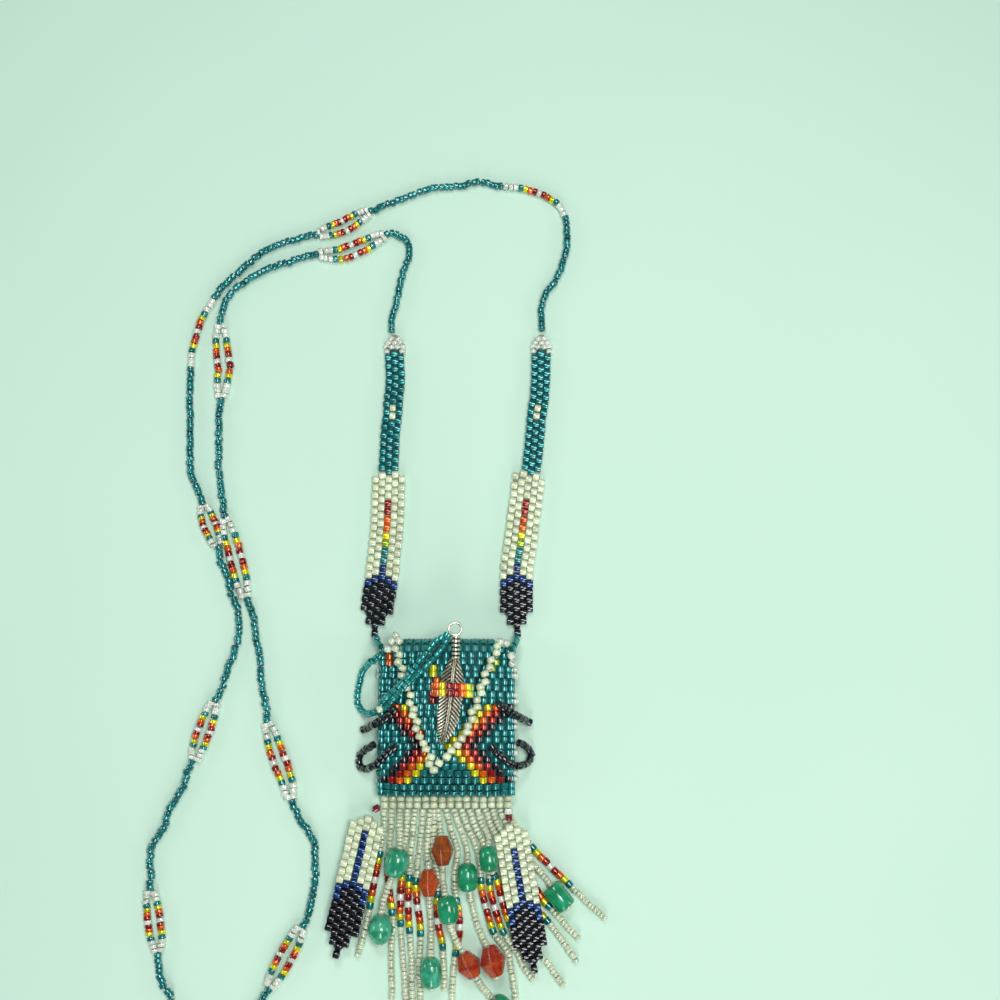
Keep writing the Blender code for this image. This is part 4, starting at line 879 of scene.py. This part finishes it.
def add_blade(piece):
    """The blade is a grid along its middle line and across it. Its height is a low dome, plus two ridges
    along the middle, plus barbs: a zigzag wave that slopes outwards towards the tip. Its grooves are dark."""
    curve = smooth_curve(places([p[:2] for p in FEATHER_BLADE], FEATHER_Z)) / MM
    length = arc_lengths(curve)[-1]
    stations = 200
    distances = np.linspace(0.0, length, stations)
    middle = along(curve, distances)
    heading = unit(np.gradient(middle, axis=0))
    across = leftward(heading)
    knots = np.linspace(0.0, length, len(FEATHER_BLADE))
    wide = np.interp(distances, knots, [p[2] * 0.1895 for p in FEATHER_BLADE])[:, None]
    v = np.linspace(-1.0, 1.0, 61)[None]
    v = v * (0.55 + 0.45 * v**2)  # closer together towards the middle
    reach = np.abs(v) * wide
    barb = np.abs(2 * ((distances[:, None] - BARB_SLOPE * reach) / BARB_PITCH % 1.0) - 1.0)
    away = np.clip((reach - 0.3) / 0.2, 0.0, 1.0)
    fade = np.clip(wide, 0.0, 1.0)
    rachis = 0.38 * np.exp(-(((reach - 0.17) / 0.12) ** 2)) - 0.1 * np.exp(-(((reach - 0.42) / 0.09) ** 2))
    height = 0.28 + 0.42 * (1 - v**2) * fade + rachis + 0.2 * (barb - 0.5) * away * fade
    ragged = 1.0 + 0.05 * (barb - 0.5) * (np.abs(v) > 0.9)
    top = middle[:, None] + across[:, None] * (v * wide * ragged)[..., None]
    top = top + heading[:, None] * (BARB_SLOPE * reach * fade)[..., None]
    top[..., 2] += np.clip(height, 0.15, None)
    under = top[:, ::-4].copy()
    under[..., 2] = middle[:, None, 2] + 0.02
    rings = np.concatenate([top, under], axis=1)
    dark = np.clip(1.3 - 1.9 * barb, 0.0, 1.0) * away + 0.8 * np.exp(-((reach / 0.07) ** 2))
    dark = dark + 0.7 * np.exp(-(((reach - 0.42) / 0.1) ** 2))
    dark = np.concatenate([np.clip(dark, 0, 1), np.zeros((stations, under.shape[1]))], axis=1)[..., None]
    colours = BRIGHT * (1 - dark) + GROOVED * dark
    add_closed_tube(piece, rings[:, ::-1] * MM, colours[:, ::-1].reshape(-1, 3), "silver")


def make_feather():
    """The blade, the neck and the ring, cast as one."""
    piece = Piece("silver_feather")
    add_blade(piece)
    # the neck: radius 0.60 mm plus 0.24 where each of six coils stands out, round at both ends
    ends = places([(456, 635), (455.6, 660)], FEATHER_Z + 0.75) / MM
    share = np.linspace(0.0, 1.0, 97)
    coil = np.abs(np.sin(np.pi * share * 6.0))
    radius = (0.60 + 0.24 * coil**0.7) * np.clip(np.sin(np.pi * np.clip(share, 0.02, 0.98)) * 6, 0.3, 1)
    middle = ends[0] + (ends[1] - ends[0]) * share[:, None]
    out = spokes(circle(20), np.array([1.0, 0.0, 0.0]), np.array([0.0, 0.0, 1.0]))
    rings = middle[:, None] + out[None] * radius[:, None, None]
    dark = np.clip(1.5 - 1.9 * coil, 0.0, 1.0)[:, None]
    add_closed_tube(piece, rings * MM, 1.2 * BRIGHT * (1 - dark) + 0.012 * dark, "silver")
    # the ring: a wire of radius 0.23 to 0.31 mm around a circle of 1.2 mm, a little thicker at the neck
    hub = at_pixel(455, 629, FEATHER_Z + 0.8) / MM
    major, minor = np.meshgrid(circle(48), circle(12), indexing="ij")
    wire = 0.23 + 0.08 * np.clip(-np.sin(major), 0, 1) ** 2
    reach = 1.2 + wire * np.cos(minor)
    points = hub + np.stack([reach * np.cos(major), reach * np.sin(major), wire * np.sin(minor)], -1)
    piece.add(points * MM, [ring_faces(48, 12)], BRIGHT, "silver")
    return piece.finish("silver_metal", ["feather_charm"])


# Straps and pendants


BAND_COLUMN = 1.3  # from one column of a strap or pendant to the next
HALF_ROW = 0.785
BAND_LIFT = 0.8


def band_lattice(axis, rows, height):
    """The middle line of a band in half rows, with its headings and the direction across it."""
    curve = smooth_curve(places(axis, height))
    middle = along(curve, np.linspace(0.0, arc_lengths(curve)[-1], rows + 1))
    heading = unit(np.gradient(middle, axis=0))
    return middle, heading, leftward(heading)


def add_woven_band(piece, lattice, beads):
    """Beads (column, half row, colour) of a band: their axes lie across it."""
    middle, _, across = lattice
    column, at, names = zip(*beads)
    at = np.minimum(at, len(middle) - 1)
    centres = middle[at] + across[at] * (np.array(column, float) * BAND_COLUMN * MM)[:, None]
    add_beads(piece, centres + [0.0, 0.0, BAND_LIFT * MM], across[at], BAND_BEAD, names, tilt=0.025)


def add_band_thread(piece, lattice, knots, halves, tones):
    """The thread in a band: a flat strip 0.2 mm thick along its middle, as wide as the weave there. Its half
    width runs from knot to knot, and tones are (colour, half rows)."""
    middle, _, across = lattice
    half = across * (np.interp(np.arange(len(middle)), knots, halves) * MM)[:, None]
    rings = np.stack([middle + side * half + [0, 0, (BAND_LIFT + rise) * MM]
                      for side, rise in ((1, 0.1), (-1, 0.1), (-1, -0.1), (1, -0.1))], axis=1)
    add_closed_tube(piece, rings, np.array([THREAD[c] for c, times in tones for _ in range(times)]), "thread")


STRAP_SPINE = (
    ["teal"] * 7 + ["white"] * 2 + ["teal"] * 7 + ["white"] * 3 + ["red"] * 2 + ["orange"] * 2
    + ["yellow", "lime"] + ["teal"] * 2 + ["blue"] * 2 + ["gunmetal"] * 7
)
STRAP_NEXT = ["teal"] * 15 + ["white"] * 13 + ["blue"] + ["gunmetal"] * 5
STRAP_EDGE = ["white"] * 13 + ["blue"] + ["gunmetal"] * 3
# The cap's beads: (columns from the middle, half rows from the end)
CAP_SPOTS = [
    (-0.5, 1.0), (0.5, 1.0), (-0.95, 2.0), (0.05, 2.1), (0.95, 2.0), (-1.3, 3.1), (-0.45, 3.2), (0.45, 3.2),
    (1.3, 3.1), (-1.2, 4.3), (1.2, 4.3),
]


def make_strap(node, axis):
    """75 half rows: a white cap, a teal part three beads wide, a white part five wide, and a dark tip."""
    piece = Piece(node + "_beads")
    lattice = middle, heading, across = band_lattice(axis, 75, 0.0)
    beads = [(0, 5 + 2 * k, paint) for k, paint in enumerate(STRAP_SPINE)]
    for side in (-1, 1):
        beads += [(side, 6 + 2 * k, paint) for k, paint in enumerate(STRAP_NEXT)]
        beads += [(2 * side, 37 + 2 * k, paint) for k, paint in enumerate(STRAP_EDGE)]
    add_woven_band(piece, lattice, beads)
    cap = np.array([middle[int(a)] + (heading[int(a)] * (a % 1) * HALF_ROW
                                      + across[int(a)] * c * BAND_COLUMN) * MM
                    for c, a in CAP_SPOTS]) + [0.0, 0.0, 0.72 * MM]
    add_beads(piece, cap, heading[2] + 0.35 * across[2], CAP_BEAD, ["clear"] * len(cap), ROUND, tilt=0.3)
    add_band_thread(piece, lattice, [0, 3, 5, 35, 38, 69, 71, 73, 75],
                    [0.5, 1.3, 1.7, 1.7, 2.9, 2.9, 1.7, 0.5, 0.4],
                    (("cream", 4), ("teal", 31), ("cream", 26), ("dark", 15)))
    return piece.finish("teal_beads", [node])


def make_pendant(node, axis, start):
    """36 half rows, five beads wide, white with a dark tip, and a blue spine from a half row on that spreads
    into blue shoulders 13 half rows later."""
    piece = Piece(node + "_beads")
    lattice = band_lattice(axis, 36, 1.6)

    def paint(column, half_row):
        if column == 0:
            return "white" if half_row < start else "blue" if half_row <= start + 12 else "black"
        if half_row < start + 12 + abs(column):
            return "white"
        return "blue" if half_row < start + 11 + 3 * abs(column) else "black"

    beads = [(0, 1 + 2 * k) for k in range(18)]
    for side in (-1, 1):
        beads += [(side, 2 + 2 * k) for k in range(16)] + [(2 * side, 3 + 2 * k) for k in range(14)]
    add_woven_band(piece, lattice, [(c, a, paint(c, a)) for c, a in beads])
    add_band_thread(piece, lattice, [0, 2, 4, 29, 30, 32, 34, 36], [0.6, 1.6, 2.9, 2.9, 1.7, 1.6, 0.4, 0.3],
                    (("cream", 17), ("dark", 20)))
    return piece.finish("white_beads", [node])


# Strands


def make_short_strand(node, route, paint, size, pitch, slot):
    """A short run of beads, thread showing at its ends."""
    piece = Piece(node + "_beads")
    curve = smooth_curve(places(route))
    end = arc_lengths(curve)[-1]
    add_run(piece, curve, 0.1 * MM, end - 0.1 * MM, pitch, size, paint, tilt=0.12, shift=0.06)
    add_thread(piece, curve, 0.16, "dark" if paint == "gunmetal" else "teal", spacing=0.8)
    return piece.finish(slot, [node])


def side_step(curve, amount):
    """Directions square to the curve, level, times an amount in millimetres for each distance."""

    def step(distances):
        return leftward(headings(curve, distances)) * (amount(np.asarray(distances)) * MM)[:, None]

    return step


def make_tether():
    """One teal strand around the left, which runs as two strands side by side up to the feather's ring: each
    lies 0.1 mm, growing to 0.68 mm, from the middle line, plus 0.22 mm times the sine of the distance."""
    piece = Piece("tether_strand")
    curve = smooth_curve(places(TETHER))
    end = arc_lengths(curve)[-1]
    split = nearest_distance(curve, at_pixel(*TETHER[9]))
    add_run(piece, curve, 0.0, split, 1.04, TETHER_BEAD, "sea_teal", tilt=0.1, shift=0.06)
    for side in (-1, 1):
        def apart(distances, side=side):
            share = np.clip((distances - split) / (1.5 * MM), 0, 1)
            share = share * np.clip((end - distances) / (2.5 * MM), 0, 1)
            return side * (0.1 + 0.58 * share + 0.22 * np.sin(distances / (2.6 * MM)))
        offset = side_step(curve, apart)
        add_run(piece, curve, split + 0.4 * MM, end, 1.04, TETHER_TWIN_BEAD, "sea_teal", offset=offset,
                tilt=0.1, shift=0.05)
        stretch = np.linspace(split, end, 40)
        add_thread(piece, along(curve, stretch) + offset(stretch), 0.15, "teal", spacing=0.8)
    add_thread(piece, curve, 0.15, "teal", spacing=0.8)
    knot = along(curve, [split])
    add_beads(piece, knot + [0, 0, 0.4 * MM], [1.0, 0.4, 0.0], BEHIND_BEAD, ["white"], ROUND)
    obj = piece.finish("teal_beads", ["tether_loop"])
    return obj


FRINGE_Z = 0.65
MOTIF_HALF = 5.4
# Motif of each fringe strand: where its middle is in the photograph
FRINGE_MOTIFS = {
    1: (374, 879), 2: (389, 886), 4: (401, 897), 5: (408, 904), 6: (416.3, 908), 8: (443, 893), 9: (458, 927),
    11: (486, 906), 12: (495, 907), 13: (499.5, 900), 14: (528, 903), 15: (535, 884), 17: (550.6, 866),
    18: (438, 921),
}


def fringe_route(strand):
    route = places(FRINGE[strand - 1], FRINGE_Z)
    route[0, 1] = FRINGE_START * MM
    return route


def make_fringe(strand):
    """Small round white beads with a motif of nine, and a gap for each accent bead, on one thread."""
    piece = Piece(f"fringe_{strand:02d}_beads")
    curve = smooth_curve(fringe_route(strand))
    lengths = arc_lengths(curve)
    gaps = []  # the strand's doubled thread fills the bore of each accent bead
    for _, on_strand, point, _, _, _, long in ACCENTS:
        if on_strand == strand:
            middle = lengths[point * CURVE_STEPS]
            gaps.append((middle - long / 2 * MM, middle + long / 2 * MM))
    taken = list(gaps)
    if strand in FRINGE_MOTIFS:
        middle = nearest_distance(curve, at_pixel(*FRINGE_MOTIFS[strand], FRINGE_Z))
        low, high = middle - MOTIF_HALF * MM, middle + MOTIF_HALF * MM
        if not any(low < b and high > a for a, b in gaps):
            taken.append((low, high))
            add_run(piece, curve, low, high, 2 * MOTIF_HALF / len(MOTIF), MOTIF_BEAD, MOTIF)
    for low, high in free_stretches(lengths[-1], taken):
        add_run(piece, curve, low, high, 0.74, FRINGE_BEAD, "milky", ROUND, tilt=0.07, shift=0.045)
    for low, high in gaps:
        add_thread(piece, along(curve, np.linspace(low, high, 12)), 0.5, "cream", spacing=0.5, sides=8)
    add_thread(piece, curve, 0.17, "cream", spacing=1.2)
    obj = piece.finish("white_beads", [f"fringe_{strand:02d}"] if strand <= PART_STRANDS else [])
    return obj


# Half profiles of the accent beads: (share of the half length, share of the half width)
FORMS = {
    "oval": [(-1.0, 0.50), (-0.93, 0.66), (-0.75, 0.84), (-0.45, 0.96), (-0.1, 1.0), (0.25, 0.99),
             (0.55, 0.92), (0.8, 0.78), (0.95, 0.60), (1.0, 0.48)],
    "diamond": [(-1.0, 0.42), (-0.9, 0.56), (-0.45, 0.86), (-0.12, 1.0), (0.12, 1.0), (0.45, 0.86),
                (0.9, 0.56), (1.0, 0.42)],
    "bicone": [(-1.0, 0.46), (-0.94, 0.54), (-0.06, 1.0), (0.06, 1.0), (0.94, 0.54), (1.0, 0.46)],
    "cylinder": [(-1.0, 0.80), (-0.94, 0.93), (-0.84, 1.0), (0.84, 1.0), (0.94, 0.93), (1.0, 0.80)],
}
BORE = [(0.92, 0.36), (-0.92, 0.36)]


def make_accent(name, strand, point, paint, form, width, length):
    """A turned bead: its profile carried around the strand, closed through the bore. Bicones have six sides,
    and a pressed bead's radius changes by 3% twice around."""
    piece = Piece(name + "_glass")
    route = fringe_route(strand)
    axis = unit(route[min(point + 1, len(route) - 1)] - route[point - 1])
    side = unit(np.cross(axis, [0.0, 0.0, 1.0]))
    cut = form == "bicone"
    turn = circle(6 if cut else 28, 0.5) - (0.02 * strand if cut else 0.0)
    ripple = np.full(6, 1.08) if cut else 1.0 + 0.03 * np.cos(2 * turn + strand)
    outline = np.array(FORMS[form] + BORE)
    out = spokes(turn, side, np.cross(side, axis))
    points = (route[point] + axis * (outline[:, :1] * length / 2 * MM)[:, None]
              + out[None] * (outline[:, 1:] * width / 2 * MM * ripple[None])[..., None])
    piece.add(points, [ring_faces(len(outline), len(turn))], (0.5, 0.5, 0.5), paint)
    obj = piece.finish("green_glass" if name.startswith("green") else "amber_glass", [name])
    if cut:
        obj.data.polygons.foreach_set("use_smooth", [False] * len(obj.data.polygons))
        bevel = obj.modifiers.new("soft facets", "BEVEL")
        bevel.width, bevel.segments, bevel.limit_method = 0.12 * MM, 2, "ANGLE"
        bevel.harden_normals = False
    return obj


# Stretches of the neck strand that run double, from and to these places of the photograph
DOUBLE = [
    ((385, 235), (319, 254.5)), ((221, 324), (221, 398)), ((225, 518), (246, 598)), ((268, 722), (291, 800)),
    ((302, 927), (269, 988)), ((158, 952), (150, 890)), ((194, 760), (215, 702)), ((218, 545), (203, 505)),
    ((318, 234), (369, 212)),
]
SINGLE_MOTIFS = [(199, 332), (539, 194)]
NECK_Z = 0.8
DOUBLE_PAINT = ["clear"] * 3 + MOTIF + ["clear"] * 3


def make_neck():
    """The long strand of teal beads. In nine stretches it runs as two strands that part and meet again:
    their distance from the middle line is 0.35 mm plus 0.85 mm times the square root of the sine of an
    angle from 0 to 180 degrees."""
    piece = Piece("neck_strand_beads")
    curve = smooth_curve(places(NECK, NECK_Z))
    end = arc_lengths(curve)[-1]
    taken = []
    for pair in DOUBLE:
        low, high = sorted(nearest_distance(curve, at_pixel(*spot, NECK_Z)) for spot in pair)
        taken.append((low, high))
        for side in (-1, 1):
            def apart(distances, side=side, low=low, high=high):
                share = np.clip((distances - low) / (high - low), 0.0, 1.0)
                return side * (0.35 + 0.85 * np.sin(np.pi * share) ** 0.5)
            offset = side_step(curve, apart)
            pitch = (high - low) / MM / len(DOUBLE_PAINT)
            add_run(piece, curve, low, high, pitch, (1.42, 0.92 * pitch), DOUBLE_PAINT, offset=offset,
                    tilt=0.1, shift=0.06)
            stretch = np.linspace(low, high, 24)
            add_thread(piece, along(curve, stretch) + offset(stretch), 0.16, "cream", spacing=0.8)
    for spot in SINGLE_MOTIFS:
        middle = nearest_distance(curve, at_pixel(*spot, NECK_Z))
        low, high = middle - 7.6 * MM, middle + 7.6 * MM
        taken.append((low, high))
        add_run(piece, curve, low, high, 1.01, NECK_MOTIF_BEAD, DOUBLE_PAINT, tilt=0.1, shift=0.06)
    for low, high in free_stretches(end, taken):
        add_run(piece, curve, low, high, 0.98, NECK_BEAD, "teal", tilt=0.11, shift=0.1)
        stretch = np.linspace(low, high, int((high - low) / MM) + 3)
        add_thread(piece, along(curve, stretch), 0.2, "teal", spacing=1.4)
    obj = piece.finish("teal_beads", ["neck_strand"])
    return obj


# The bag, cords first

make_neck()
make_tether()
accents = [make_accent(*row) for row in ACCENTS]
for number in range(1, len(FRINGE) + 1):
    make_fringe(number)
make_pouch()
make_flap()
make_flap_edging()
make_side_edging("side_edging_left", -1)
make_side_edging("side_edging_right", 1)
make_base_edging()
make_toggle_band()
make_feather()
make_strap("strap_left", STRAP_LEFT_AXIS)
make_strap("strap_right", STRAP_RIGHT_AXIS)
make_pendant("pendant_left", PENDANT_LEFT_AXIS, 5)
make_pendant("pendant_right", PENDANT_RIGHT_AXIS, 7)
for node, route in (("strap_link_left", STRAP_LINK_LEFT), ("strap_link_right", STRAP_LINK_RIGHT)):
    make_short_strand(node, route, "sea_teal", (1.4, 0.98), 1.12, "teal_beads")
make_short_strand("pendant_link_left", PENDANT_LINK_LEFT, "pink_red", (1.4, 1.15), 1.25, "red_beads")
make_short_strand("pendant_link_right", PENDANT_LINK_RIGHT, ["clear", "pink_red"], (1.4, 1.15), 1.25,
                  "red_beads")
for node, route in (("loop_left_upper", LOOP_LEFT_UPPER), ("loop_left_lower", LOOP_LEFT_LOWER),
                    ("loop_right_upper", LOOP_RIGHT_UPPER), ("loop_right_lower", LOOP_RIGHT_LOWER)):
    make_short_strand(node, route, "gunmetal", (1.5, 1.0), 1.14, "dark_beads")

# Floor, lamps and world


FLOOR_REACH, FLOOR_Z = 1.2, -0.05 * MM
LAMPS = [  # name, place, what it points at, power, width and height
    ("key lamp", (0.09, 0.015, 0.40), (0.0, 0.04, 0.0), 0.82, 0.14, 0.14),
    ("back lamp", (-0.025, 0.22, 0.36), (0.0, 0.04, 0.0), 0.36, 0.08, 0.08),
    ("front lamp", (0.01, -0.38, 0.22), (0.0, -0.01, 0.0), 0.75, 0.1, 0.3),
    ("left lamp", (-0.44, 0.08, 0.20), (0.0, 0.02, 0.0), 0.28, 0.12, 0.12),
    ("right lamp", (0.44, 0.0, 0.20), (0.0, 0.02, 0.0), 0.28, 0.12, 0.12),
]


def make_floor():
    """A level pale sheet, with a faint unevenness in its tone."""
    mesh = bpy.data.meshes.new("floor")
    corners = [(x * FLOOR_REACH, y * FLOOR_REACH, FLOOR_Z) for x, y in ((-1, -1), (1, -1), (1, 1), (-1, 1))]
    mesh.from_pydata(corners, [], [(0, 1, 2, 3)])
    material, tree, shader = new_material("pale floor")
    tone = noise(tree, where(tree), 9.0)
    feed(tree, shader, {"Roughness": 0.9, "Base Color": mix_colours(
        tree, "MIX", tone, (0.56, 0.80, 0.66, 1.0), (0.62, 0.86, 0.72, 1.0))})
    mesh.materials.append(material)
    floor = bpy.data.objects.new("floor", mesh)
    bpy.context.scene.collection.objects.link(floor)


def add_lamp(name, place, aim, power, width, height):
    """An area lamp that points from its place at another."""
    lamp = bpy.data.lights.new(name, "AREA")
    lamp.shape = "RECTANGLE"
    lamp.energy, lamp.size, lamp.size_y = power, width, height
    obj = bpy.data.objects.new(name, lamp)
    obj.location = place
    x, y, z = np.array(aim) - np.array(place)
    obj.rotation_euler = (math.atan2(math.hypot(x, y), -z), 0.0, math.atan2(x, -y) + math.pi)
    bpy.context.scene.collection.objects.link(obj)


make_floor()
for lamp in LAMPS:
    add_lamp(*lamp)
world = bpy.data.worlds.new("studio")
world.use_nodes = True
background = world.node_tree.nodes["Background"]
feed(world.node_tree, background, {"Color": (0.93, 1.0, 0.96, 1.0), "Strength": 0.17})
bpy.context.scene.world = world
bpy.context.scene.view_settings.view_transform = "Standard"
